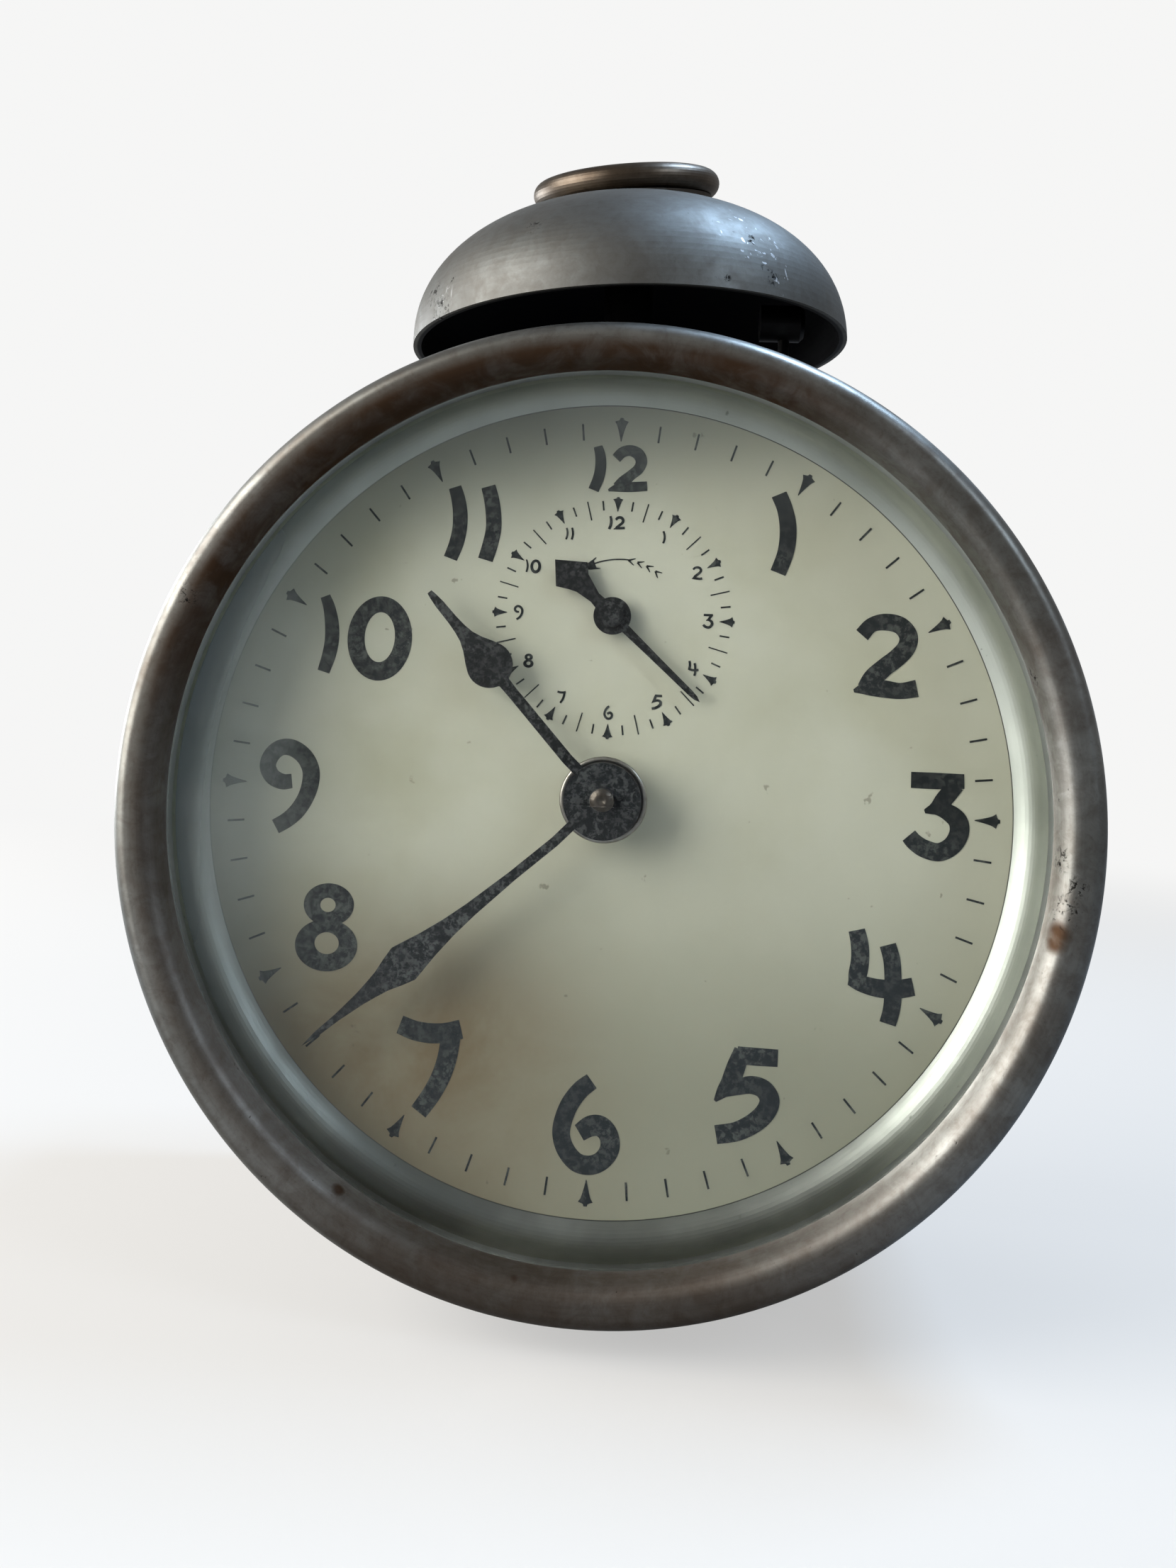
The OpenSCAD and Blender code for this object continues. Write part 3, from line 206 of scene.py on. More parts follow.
def buildPatina(look):
    # old plated metal: cloudy wear, brown tarnish, fine specks, scratches and small dark pits
    tree, given, result = newGroup("patina", [
        ("Vector", "NodeSocketVector", None), ("Plate", "NodeSocketColor", (0.4, 0.4, 0.4, 1)),
        ("Worn", "NodeSocketColor", (0.5, 0.5, 0.5, 1)), ("Tarnish", "NodeSocketColor", (0.1, 0.07, 0.05, 1)),
        ("Tarnish Mask", "NodeSocketFloat", 0.0), ("Patchy", "NodeSocketFloat", 0.5),
        ("Cloud Scale", "NodeSocketFloat", 60.0), ("Pits", "NodeSocketFloat", 0.5),
        ("Pit Mask", "NodeSocketFloat", 0.0), ("Gloss", "NodeSocketFloat", 0.3),
        ("Mottle", "NodeSocketFloat", 0.3), ("Scratches", "NodeSocketFloat", 0.0)],
        [("Color", "NodeSocketColor"), ("Roughness", "NodeSocketFloat"), ("Height", "NodeSocketFloat")])
    g = given.outputs
    cloud = noiseOf(tree, g["Vector"], g["Cloud Scale"], 6.0, 0.55, 0.3)
    fine = noiseOf(tree, g["Vector"], look["fine"], 5.0, 0.7)
    patches = noiseOf(tree, g["Vector"], look["patches"], 7.0, 0.62, 0.6)
    pitNoise = noiseOf(tree, g["Vector"], look["pits"], 3.0, 0.6, 0.4)
    pitFine = noiseOf(tree, g["Vector"], look["groupedPits"], 6.0, 0.7, 0.8)
    mottle = noiseOf(tree, g["Vector"], look["mottle"], 8.0, 0.72, 0.5)
    body = blendColours(tree, ramp(tree, cloud, 0.32, 0.70), g["Plate"], g["Worn"])
    mottled = sums(tree, "MULTIPLY", ramp(tree, mottle, 0.60, 0.36), g["Mottle"])
    body = blendColours(tree, mottled, body, g["Tarnish"])
    speckle = sums(tree, "MULTIPLY", ramp(tree, fine, 0.50, 0.80), 0.28)
    body = blendColours(tree, speckle, body, g["Tarnish"])
    along = stretch(tree, g["Vector"], look["acrossStretch"])
    down = stretch(tree, g["Vector"], look["downStretch"])
    linesAcross = noiseOf(tree, along, look["scratches"], 2.0, 0.5, 0.5)
    linesDown = noiseOf(tree, down, look["scratchesDown"], 2.0, 0.5, 0.5)
    scratched = sums(tree, "MAXIMUM", ramp(tree, linesAcross, 0.66, 0.70), ramp(tree, linesDown, 0.68, 0.72))
    scratched = sums(tree, "MULTIPLY", scratched, g["Scratches"])
    body = blendColours(tree, scratched, body, look["bare"])
    broken = sums(tree, "MULTIPLY_ADD", ramp(tree, patches, 0.30, 0.62), g["Patchy"],
                  sums(tree, "SUBTRACT", 1.0, g["Patchy"]))
    tarnish = sums(tree, "MULTIPLY", g["Tarnish Mask"], broken, clamp=True)
    body = blendColours(tree, tarnish, body, g["Tarnish"])
    scattered = sums(tree, "MULTIPLY", sums(tree, "MULTIPLY", ramp(tree, pitNoise, 0.68, 0.74),
                                            ramp(tree, cloud, 0.48, 0.66)), g["Pits"])
    grouped = sums(tree, "MULTIPLY", ramp(tree, pitFine, 0.50, 0.62), g["Pit Mask"])
    pits = sums(tree, "MAXIMUM", scattered, grouped, clamp=True)
    body = blendColours(tree, pits, body, look["pitBlack"])
    rough = sums(tree, "MULTIPLY_ADD", patches, 0.12, g["Gloss"])
    rough = sums(tree, "MULTIPLY_ADD", tarnish, 0.14, rough)
    rough = sums(tree, "MULTIPLY_ADD", pits, 0.3, rough, clamp=True)
    raised = sums(tree, "MULTIPLY_ADD", mottle, 0.3, sums(tree, "MULTIPLY", patches, 0.35))
    height = sums(tree, "SUBTRACT", raised, sums(tree, "MULTIPLY_ADD", scratched, 0.4, pits))
    for key, socket in (("Color", body), ("Roughness", rough), ("Height", height)):
        tree.links.new(socket, result.inputs[key])
    return tree


def buildRadius(middleZ, lengthening):
    # place on the dial side: distance from the hands' line in metres, across, up, turn clockwise from 12 as a
    # share of a whole turn, and coordinates that run long round the clock and fine along its radius
    tree, given, result = newGroup("dialRadius", [("Vector", "NodeSocketVector", None),
                                                  ("Middle Z", "NodeSocketFloat", middleZ)],
                                   [("Radius", "NodeSocketFloat"), ("Across", "NodeSocketFloat"),
                                    ("Up", "NodeSocketFloat"), ("Turn", "NodeSocketFloat"),
                                    ("Round", "NodeSocketVector")])
    split = put(tree, "ShaderNodeSeparateXYZ", {0: given.outputs["Vector"]})
    up = sums(tree, "SUBTRACT", split.outputs["Z"], given.outputs["Middle Z"])
    flat = put(tree, "ShaderNodeCombineXYZ", {"X": split.outputs["X"], "Y": up})
    radius = put(tree, "ShaderNodeVectorMath", {0: flat.outputs[0]}, operation="LENGTH").outputs["Value"]
    turn = sums(tree, "DIVIDE", sums(tree, "ARCTAN2", split.outputs["X"], up), 2 * math.pi)
    way = put(tree, "ShaderNodeVectorMath", {0: flat.outputs[0]}, operation="NORMALIZE").outputs["Vector"]
    way = stretch(tree, way, (lengthening, lengthening, lengthening))
    depth = put(tree, "ShaderNodeCombineXYZ", {"Z": sums(tree, "SUBTRACT", radius, split.outputs["Y"])})
    spun = put(tree, "ShaderNodeVectorMath", {0: way, 1: depth.outputs[0]}, operation="ADD").outputs[0]
    for key, socket in (("Radius", radius), ("Across", split.outputs["X"]), ("Up", up), ("Turn", turn),
                        ("Round", spun)):
        tree.links.new(socket, result.inputs[key])
    return tree


# The bell's inside wall, as part.scad draws it
bellForm = {"foot": (0.0, -2.55 * mm, 113.8 * mm), "leanDeg": 3.4, "mouthUp": 8.3 * mm,
            "innerR": 29.5 * mm, "innerH": 18.9 * mm, "full": 2.2}


def buildBellPlace(form):
    # 1 on the inside of the bell: (r / R)^full + (h / H)^full stays near 1 there and is larger outside
    tree, given, result = newGroup("bellPlace", [("Vector", "NodeSocketVector", None)],
                                   [("Inside", "NodeSocketFloat"), ("Height", "NodeSocketFloat")])
    lean = math.radians(form["leanDeg"])
    axis = (-math.sin(lean), 0.0, math.cos(lean))
    fromFoot = put(tree, "ShaderNodeVectorMath", {0: given.outputs["Vector"], 1: form["foot"]},
                   operation="SUBTRACT").outputs[0]
    along = put(tree, "ShaderNodeVectorMath", {0: fromFoot, 1: axis}, operation="DOT_PRODUCT").outputs["Value"]
    onAxis = put(tree, "ShaderNodeVectorMath", {0: axis, 3: along}, operation="SCALE").outputs[0]
    radius = put(tree, "ShaderNodeVectorMath", {0: fromFoot, 1: onAxis}, operation="DISTANCE").outputs["Value"]
    height = sums(tree, "SUBTRACT", along, form["mouthUp"])
    partR = sums(tree, "POWER", sums(tree, "DIVIDE", radius, form["innerR"]), form["full"])
    partH = sums(tree, "POWER", sums(tree, "DIVIDE", sums(tree, "MAXIMUM", height, 0.0), form["innerH"]),
                 form["full"])
    inside = ramp(tree, sums(tree, "ADD", partR, partH), 1.055, 1.030)
    for key, socket in (("Inside", inside), ("Height", height)):
        tree.links.new(socket, result.inputs[key])
    return tree


brushedLook = {"stretch": (0.06, 1.0, 1.0), "lines": 4200.0, "spots": 160.0}


def buildBrushed(look):
    # fine parallel lines of a brushed or turned surface, with dull oil spots
    tree, given, result = newGroup("brushed", [
        ("Vector", "NodeSocketVector", None), ("Light", "NodeSocketColor", (0.6, 0.5, 0.3, 1)),
        ("Dark", "NodeSocketColor", (0.3, 0.2, 0.1, 1)), ("Gloss", "NodeSocketFloat", 0.3)],
        [("Color", "NodeSocketColor"), ("Roughness", "NodeSocketFloat"), ("Height", "NodeSocketFloat")])
    g = given.outputs
    lines = noiseOf(tree, stretch(tree, g["Vector"], look["stretch"]), look["lines"], 3.0, 0.5)
    spots = noiseOf(tree, g["Vector"], look["spots"], 6.0, 0.6, 0.5)
    dull = ramp(tree, spots, 0.42, 0.68)
    body = blendColours(tree, dull, g["Light"], g["Dark"])
    body = blendColours(tree, sums(tree, "MULTIPLY", lines, 0.25), body, g["Dark"])
    rough = sums(tree, "ADD", g["Gloss"], sums(tree, "MULTIPLY", dull, 0.18), clamp=True)
    for key, socket in (("Color", body), ("Roughness", rough), ("Height", lines)):
        tree.links.new(socket, result.inputs[key])
    return tree


patina = buildPatina(patinaLook)
dialRadius = buildRadius(float(dialMiddle[2]), 3.0 * mm)
bellPlace = buildBellPlace(bellForm)
brushed = buildBrushed(brushedLook)
print("shared effects built")


def startMaterial(name, **fixed):
    # a material with its Principled shader and the object's own coordinates
    made = bpy.data.materials.new(name)
    made.use_nodes = True
    tree = made.node_tree
    shader = tree.nodes["Principled BSDF"]
    for key, value in fixed.items():
        shader.inputs[key.replace("_", " ")].default_value = value
    where = put(tree, "ShaderNodeTexCoord").outputs["Object"]
    return made, tree, shader, where


def placeGroup(tree, group, values):
    made = tree.nodes.new("ShaderNodeGroup")
    made.node_tree = group
    for key, value in values.items():
        if isinstance(value, bpy.types.NodeSocket):
            tree.links.new(value, made.inputs[key])
        else:
            made.inputs[key].default_value = value
    return made.outputs


def roughen(tree, shader, height, strength, distance=0.1 * mm):
    bump = put(tree, "ShaderNodeBump", {"Strength": strength, "Distance": distance, "Height": height})
    tree.links.new(bump.outputs["Normal"], shader.inputs["Normal"])


def finishShader(tree, shader, outputs, strength, distance):
    tree.links.new(outputs["Color"], shader.inputs["Base Color"])
    tree.links.new(outputs["Roughness"], shader.inputs["Roughness"])
    roughen(tree, shader, outputs["Height"], strength, distance)


# Materials: the clock's own finishes

# Colours as screen values; cloud: noise scale per metre; the rest are shares of 1
metalLooks = {
    "rimNickel": {"plate": (122, 121, 115), "worn": (152, 152, 147), "tarnish": (68, 51, 38),
                  "cloud": 42.0, "pits": 0.8, "gloss": 0.33, "patchy": 0.25, "bump": 0.20, "mottle": 0.30},
    "caseNickel": {"plate": (116, 113, 107), "worn": (150, 148, 142), "tarnish": (66, 52, 42),
                   "cloud": 50.0, "pits": 0.7, "gloss": 0.28, "patchy": 0.6, "bump": 0.2},
    "brightNickel": {"plate": (176, 176, 170), "worn": (202, 202, 198), "tarnish": (96, 86, 72),
                     "cloud": 120.0, "pits": 0.3, "gloss": 0.2, "patchy": 0.7, "bump": 0.1},
    "bellNickel": {"plate": (106, 107, 104), "worn": (124, 125, 122), "tarnish": (78, 70, 62),
                   "cloud": 36.0, "pits": 0.9, "gloss": 0.45, "patchy": 0.8, "bump": 0.12, "mottle": 0.25},
    "capTarnish": {"plate": (98, 86, 73), "worn": (118, 109, 98), "tarnish": (56, 44, 35),
                   "cloud": 80.0, "pits": 0.5, "gloss": 0.27, "patchy": 0.4, "bump": 0.15},
    "bareSteel": {"plate": (100, 102, 104), "worn": (132, 134, 135), "tarnish": (62, 50, 40),
                  "cloud": 130.0, "pits": 0.6, "gloss": 0.3, "patchy": 0.6, "bump": 0.2},
    "darkSteel": {"plate": (34, 34, 35), "worn": (50, 50, 50), "tarnish": (28, 24, 21),
                  "cloud": 130.0, "pits": 0.5, "gloss": 0.36, "patchy": 0.6, "bump": 0.2},
    "pinSteel": {"plate": (92, 87, 80), "worn": (122, 117, 109), "tarnish": (60, 51, 45),
                 "cloud": 400.0, "pits": 0.4, "gloss": 0.30, "patchy": 0.6, "bump": 0.15},
    "colletNickel": {"plate": (156, 153, 144), "worn": (190, 189, 182), "tarnish": (96, 88, 76),
                     "cloud": 300.0, "pits": 0.4, "gloss": 0.22, "patchy": 0.7, "bump": 0.12},
    "blueSpring": {"plate": (38, 44, 62), "worn": (60, 66, 84), "tarnish": (30, 26, 26),
                   "cloud": 150.0, "pits": 0.4, "gloss": 0.24, "patchy": 0.6, "bump": 0.15},
}


def spotMask(tree, where, spots):
    # 1 near any of the spots; each is its place in mm and its radius in mm
    mask = 0.0
    for *place, reach in spots:
        away = put(tree, "ShaderNodeVectorMath", {0: where, 1: [v * mm for v in place]},
                   operation="DISTANCE").outputs["Value"]
        near = ramp(tree, away, reach * mm, reach * mm * 0.3)
        mask = near if mask == 0.0 else sums(tree, "MAXIMUM", mask, near)
    return mask


def metalShader(name, look, tarnishMask=0.3, pitMask=0.0, scratchMask=0.0):
    # the masks are numbers, or functions that build them in the material's tree
    made, tree, shader, where = startMaterial(name, Metallic=1.0)
    masks = [mask(tree, where) if callable(mask) else mask for mask in (tarnishMask, pitMask, scratchMask)]
    outputs = placeGroup(tree, patina, {
        "Vector": where, "Plate": colour(*look["plate"]), "Worn": colour(*look["worn"]),
        "Tarnish": colour(*look["tarnish"]), "Tarnish Mask": masks[0], "Patchy": look["patchy"],
        "Cloud Scale": look["cloud"], "Pits": look["pits"], "Pit Mask": masks[1], "Gloss": look["gloss"],
        "Mottle": look.get("mottle", 0.3), "Scratches": masks[2]})
    finishShader(tree, shader, outputs, look["bump"], 0.2 * mm)
    return made, tree, shader, where


def platedMetal(name, look):
    return metalShader(name, look)[0]


# Rim: radii and places in mm, turns clockwise from 12 as shares of a whole turn, noise scales per metre
rimLook = {"lipY": -31.6, "lean": 0.75, "leanRun": 3.6, "crest": (54.7, 55.0), "slope": (55.9, 53.4),
           "brownFrom": -0.27, "brownTo": 0.085, "lowDarkUp": (-28.0, -54.0), "lowDark": 0.72,
           "leftDarkAcross": (-12.0, -36.0), "leftDark": 0.6, "edgeWear": (56.2, 56.9),
           "edgeWearAmount": 0.75, "leftHighlightAcross": (-12.0, -40.0), "leftHighlight": (55.7, 56.5),
           "leftHighlightAmount": 0.45, "mottleScale": 70.0, "streakScale": 2600.0, "wearScale": 95.0,
           "streakAmount": 0.10,
           "line": (30, 27, 25), "bare": (184, 186, 182),
           "stains": [(51.5, -34.6, 49.2, 2.3), (51.2, -34.6, 48.2, 2.0), (-27.5, -33.8, 16.1, 1.5),
                      (-7.0, -34.4, 8.2, 1.3)],
           "pits": [(48.9, -33.1, 77.5, 1.6), (52.0, -33.8, 57.2, 2.0), (52.3, -34.9, 51.5, 2.6),
                    (-49.4, -35.5, 82.2, 1.8), (53.2, -35.2, 54.4, 1.9)]}


def rimNickel(look):
    # grey nickel, brown on the slope's upper part, darker brown low down and on the left slope, bare on its
    # outer edge, and a painted highlight along the left outer edge
    def brown(tree, where):
        ring = placeGroup(tree, dialRadius, {"Vector": where})
        slope = ramp(tree, ring["Radius"], *inMm(look["slope"]))
        starts = ramp(tree, ring["Turn"], look["brownFrom"] - 0.06, look["brownFrom"] + 0.10)
        ends = ramp(tree, ring["Turn"], look["brownTo"] + 0.045, look["brownTo"] - 0.03)
        top = sums(tree, "MULTIPLY", slope, sums(tree, "MULTIPLY", starts, ends))
        clouds = noiseOf(tree, where, look["mottleScale"], 5.0, 0.65, 0.3)
        mask = sums(tree, "MAXIMUM", top, ramp(tree, clouds, 0.38, 0.7, 0.05, 0.5))
        # browner and darker low down and on the left slope
        lowDark = ramp(tree, ring["Up"], *inMm(look["lowDarkUp"]), 0.0, look["lowDark"])
        leftSide = ramp(tree, ring["Across"], *inMm(look["leftDarkAcross"]), 0.0, look["leftDark"])
        leftDark = sums(tree, "MULTIPLY", leftSide, slope)
        mask = sums(tree, "MAXIMUM", mask, sums(tree, "MAXIMUM", lowDark, leftDark))
        return sums(tree, "MAXIMUM", mask, spotMask(tree, where, look["stains"]), clamp=True)

    made, tree, shader, where = metalShader("rimNickel", metalLooks["rimNickel"], brown,
                                            lambda tree, where: spotMask(tree, where, look["pits"]))
    ring = placeGroup(tree, dialRadius, {"Vector": where})
    base = shader.inputs["Base Color"].links[0].from_socket
    worn = ramp(tree, noiseOf(tree, where, look["wearScale"], 5.0, 0.6), 0.42, 0.60)
    worn = sums(tree, "MULTIPLY", ramp(tree, ring["Radius"], *inMm(look["edgeWear"])), worn)
    # painted highlight: the outer edge on the left side is blended towards bright bare metal
    leftHighlight = sums(tree, "MULTIPLY", ramp(tree, ring["Across"], *inMm(look["leftHighlightAcross"])),
                    ramp(tree, ring["Radius"], *inMm(look["leftHighlight"])))
    worn = sums(tree, "MAXIMUM", sums(tree, "MULTIPLY", worn, look["edgeWearAmount"]),
                sums(tree, "MULTIPLY", leftHighlight, look["leftHighlightAmount"]))
    base = blendColours(tree, worn, base, colour(*look["bare"]))
    streaks = ramp(tree, noiseOf(tree, ring["Round"], look["streakScale"], 3.0, 0.5), 0.4, 0.7)
    streaks = sums(tree, "MULTIPLY", streaks, look["streakAmount"])
    base = blendColours(tree, streaks, base, colour(*look["line"]))
    tree.links.new(base, shader.inputs["Base Color"])
    # the slope leans a little more than its mesh: height = -lean * (w - w^2 / 2 / run), w = rise above the lip
    run = look["leanRun"] * mm
    forward = put(tree, "ShaderNodeSeparateXYZ", {0: where}).outputs["Y"]
    rise = sums(tree, "SUBTRACT", look["lipY"] * mm, forward)
    pastCrest = ramp(tree, ring["Radius"], *inMm(look["crest"]), 0.0, run)
    rise = sums(tree, "MINIMUM", sums(tree, "MAXIMUM", rise, pastCrest), run)
    square = sums(tree, "MULTIPLY", sums(tree, "MULTIPLY", rise, rise), 0.5 / run)
    lean = sums(tree, "MULTIPLY", sums(tree, "SUBTRACT", square, rise), look["lean"])
    bend = put(tree, "ShaderNodeBump", {"Strength": 1.0, "Distance": 1.0, "Height": lean,
                                        "Normal": shader.inputs["Normal"].links[0].from_socket})
    tree.links.new(bend.outputs["Normal"], shader.inputs["Normal"])
    return made


# Bell: heights above its mouth and places of its marks in mm, each mark with its radius
bellLook = {"dark": (12, 12, 14), "rough": 0.6, "brownUp": (18.0, 20.5),
            "pits": [(15.1, -26.7, 130.3, 1.4), (17.0, -27.2, 126.4, 0.9), (17.9, -26.7, 125.5, 1.5),
                     (-24.2, -21.8, 121.4, 3.0), (-25.8, -19.3, 124.5, 2.4), (-12.0, -28.2, 130.7, 1.5),
                     (-22.5, -23.2, 125.2, 1.0), (12.2, -30.3, 124.1, 0.7)],
            "scratches": [(14.5, -26.0, 131.0, 6.5), (18.0, -26.5, 126.0, 4.5), (-24.5, -21.5, 122.0, 4.0)]}


def bellNickel(look):
    # dull nickel outside, brown round its crown, with pits and scratches; the inside is painted near black as
    # shade
    def crownBrown(tree, where):
        height = placeGroup(tree, bellPlace, {"Vector": where})["Height"]
        return ramp(tree, height, *inMm(look["brownUp"]), 0.35, 1.0)

    made, tree, shader, where = metalShader("bellNickel", metalLooks["bellNickel"], crownBrown,
                                            lambda tree, where: spotMask(tree, where, look["pits"]),
                                            lambda tree, where: spotMask(tree, where, look["scratches"]))
    # painted shade: the inside of the bell is coloured near black and made rough
    inside = placeGroup(tree, bellPlace, {"Vector": where})["Inside"]
    base = shader.inputs["Base Color"].links[0].from_socket
    rough = shader.inputs["Roughness"].links[0].from_socket
    tree.links.new(blendColours(tree, inside, base, colour(*look["dark"])), shader.inputs["Base Color"])
    keptRough = sums(tree, "MULTIPLY", rough, sums(tree, "SUBTRACT", 1.0, inside))
    tree.links.new(sums(tree, "MULTIPLY_ADD", inside, look["rough"], keptRough), shader.inputs["Roughness"])
    return made


brassLook = {"light": (176, 148, 92), "dark": (118, 94, 54), "gloss": 0.3, "bump": 0.12}


def wheelBrass(look):
    made, tree, shader, where = startMaterial("wheelBrass", Metallic=1.0)
    outputs = placeGroup(tree, brushed, {"Vector": where, "Light": colour(*look["light"]),
                                         "Dark": colour(*look["dark"]), "Gloss": look["gloss"]})
    finishShader(tree, shader, outputs, look["bump"], 0.1 * mm)
    return made


# Sight ring: radii and places in mm from the hands' line, noise scales per metre
ringLook = {"light": (182, 186, 178), "dark": (148, 152, 143), "line": (36, 36, 33), "lowDark": (72, 73, 68),
            "gloss": 0.36, "dialEdgeShadow": (48.90, 48.83), "edgeAcross": (-30.0, 4.0), "lowDarkUp": (-22.0, -47.0),
            "lowLeftUp": (0.0, -30.0), "lowLeftAcross": (-8.0, -34.0), "lowLeft": 0.62,
            "lineScale": 9000.0, "cloudScale": 60.0, "speckScale": 640.0}


def satinRing(look):
    # turned satin silver: fine lines round it, faint clouds, darker low down, painted shade at the lower left,
    # a painted shadow line at the dial's edge
    made, tree, shader, where = startMaterial("satinRing", Metallic=0.94)
    ring = placeGroup(tree, dialRadius, {"Vector": where})
    lines = noiseOf(tree, ring["Round"], look["lineScale"], 3.0, 0.55)
    clouds = noiseOf(tree, where, look["cloudScale"], 4.0, 0.55)
    specks = ramp(tree, noiseOf(tree, where, look["speckScale"], 3.0, 0.6), 0.70, 0.76)
    base = blendColours(tree, ramp(tree, clouds, 0.35, 0.75, 0.0, 0.7), colour(*look["light"]),
                        colour(*look["dark"]))
    base = blendColours(tree, sums(tree, "MULTIPLY", lines, 0.16), base, colour(*look["dark"]))
    base = blendColours(tree, sums(tree, "MULTIPLY", specks, 0.5), base, colour(*look["line"]))
    # darker low down
    lowDarkening = sums(tree, "MULTIPLY", ramp(tree, ring["Up"], *inMm(look["lowDarkUp"])),
                   ramp(tree, clouds, 0.25, 0.6, 0.6, 0.85))
    # painted shade at the ring's lower left
    lowLeft = sums(tree, "MULTIPLY", ramp(tree, ring["Up"], *inMm(look["lowLeftUp"]), 0.0, look["lowLeft"]),
                   ramp(tree, ring["Across"], *inMm(look["lowLeftAcross"])))
    lowDarkening = sums(tree, "MAXIMUM", lowDarkening, lowLeft)
    base = blendColours(tree, lowDarkening, base, colour(*look["lowDark"]))
    # painted shadow: a dark line where the ring meets the dial, fainter towards the left
    sharp = ramp(tree, ring["Across"], *inMm(look["edgeAcross"]), 0.3, 1.0)
    inner = ramp(tree, ring["Radius"], *inMm(look["dialEdgeShadow"]))
    base = blendColours(tree, sums(tree, "MULTIPLY", inner, sharp), base, colour(*look["line"]))
    tree.links.new(base, shader.inputs["Base Color"])
    tree.links.new(sums(tree, "MULTIPLY_ADD", lines, 0.12, look["gloss"]), shader.inputs["Roughness"])
    roughen(tree, shader, lines, 0.1)
    return made


# Dial: places in mm from the hands' line, noise scales per metre, amounts as shares of 1
paperLook = {"clean": (178, 178, 160), "aged": (164, 163, 141), "stain": (94, 76, 46), "low": (120, 119, 101),
             "edge": (144, 144, 127), "shade": (86, 88, 81), "speck": (74, 67, 54),
             "gapShadow": (0.012, 0.012, 0.010, 1), "lowUp": (4.0, -38.0), "lowAmount": 0.9,
             "stainUp": (-4.0, -32.0), "stainAcross": (10.0, -20.0), "stainAmount": 0.95,
             "edgeRadius": (34.0, 49.5), "edgeShadeAmount": 0.25, "shadeUp": (26.0, 42.0), "shadeAmount": 0.62,
             "shadeAcross": (-32.0, -8.0), "gapRadius": (48.70, 48.80), "gapShadowAmount": 0.7,
             "cloudScale": 30.0, "fibreScale": 1700.0, "stainScale": 46.0, "speckScale": 430.0}


def dialPaper(look):
    # cream paper: aged clouds, darker low down, brown stain at the lower left, painted shade at the top and
    # towards the edge, a painted shadow at the ring's foot, fine specks
    made, tree, shader, where = startMaterial("dialPaper", Roughness=0.62, Specular_IOR_Level=0.25)
    ring = placeGroup(tree, dialRadius, {"Vector": where})
    clouds = noiseOf(tree, where, look["cloudScale"], 5.0, 0.55, 0.4)
    fibre = noiseOf(tree, where, look["fibreScale"], 3.0, 0.6)
    base = blendColours(tree, ramp(tree, clouds, 0.38, 0.72), colour(*look["clean"]), colour(*look["aged"]))
    lower = ramp(tree, ring["Up"], *inMm(look["lowUp"]), 0.0, look["lowAmount"])
    base = blendColours(tree, lower, base, colour(*look["low"]))
    low = ramp(tree, ring["Up"], *inMm(look["stainUp"]))
    left = ramp(tree, ring["Across"], *inMm(look["stainAcross"]))
    stainEdge = ramp(tree, noiseOf(tree, where, look["stainScale"], 6.0, 0.6, 0.8), 0.30, 0.62, 0.6, 1.0)
    stain = sums(tree, "MULTIPLY", sums(tree, "MULTIPLY", low, left), stainEdge)
    stain = sums(tree, "MULTIPLY", stain, look["stainAmount"])
    base = blendColours(tree, stain, base, colour(*look["stain"]))
    # painted shade: the paper darkens towards its edge, where the rim stands over it
    edgeShade = sums(tree, "MULTIPLY", ramp(tree, ring["Radius"], *inMm(look["edgeRadius"])), look["edgeShadeAmount"])
    base = blendColours(tree, edgeShade, base, colour(*look["edge"]))
    # painted shade across the top of the dial, fading towards the far left
    upperLeft = sums(tree, "MULTIPLY_ADD", ring["Up"], 0.85, sums(tree, "MULTIPLY", ring["Across"], -0.28))
    shade = sums(tree, "MULTIPLY", ramp(tree, upperLeft, *inMm(look["shadeUp"]), 0.0, look["shadeAmount"]),
                 ramp(tree, ring["Across"], *inMm(look["shadeAcross"]), 0.3, 1.0))
    base = blendColours(tree, shade, base, colour(*look["shade"]))
    specks = ramp(tree, noiseOf(tree, where, look["speckScale"], 3.0, 0.6), 0.71, 0.76)
    base = blendColours(tree, sums(tree, "MULTIPLY", specks, 0.5), base, colour(*look["speck"]))
    base = blendColours(tree, sums(tree, "MULTIPLY", fibre, 0.12), base, colour(*look["edge"]))
    # painted shadow: a dark ring where the sight ring's foot meets the paper
    gap = ramp(tree, ring["Radius"], *inMm(look["gapRadius"]), 0.0, look["gapShadowAmount"])
    base = blendColours(tree, gap, base, look["gapShadow"])
    tree.links.new(base, shader.inputs["Base Color"])
    roughen(tree, shader, fibre, 0.1)
    return made


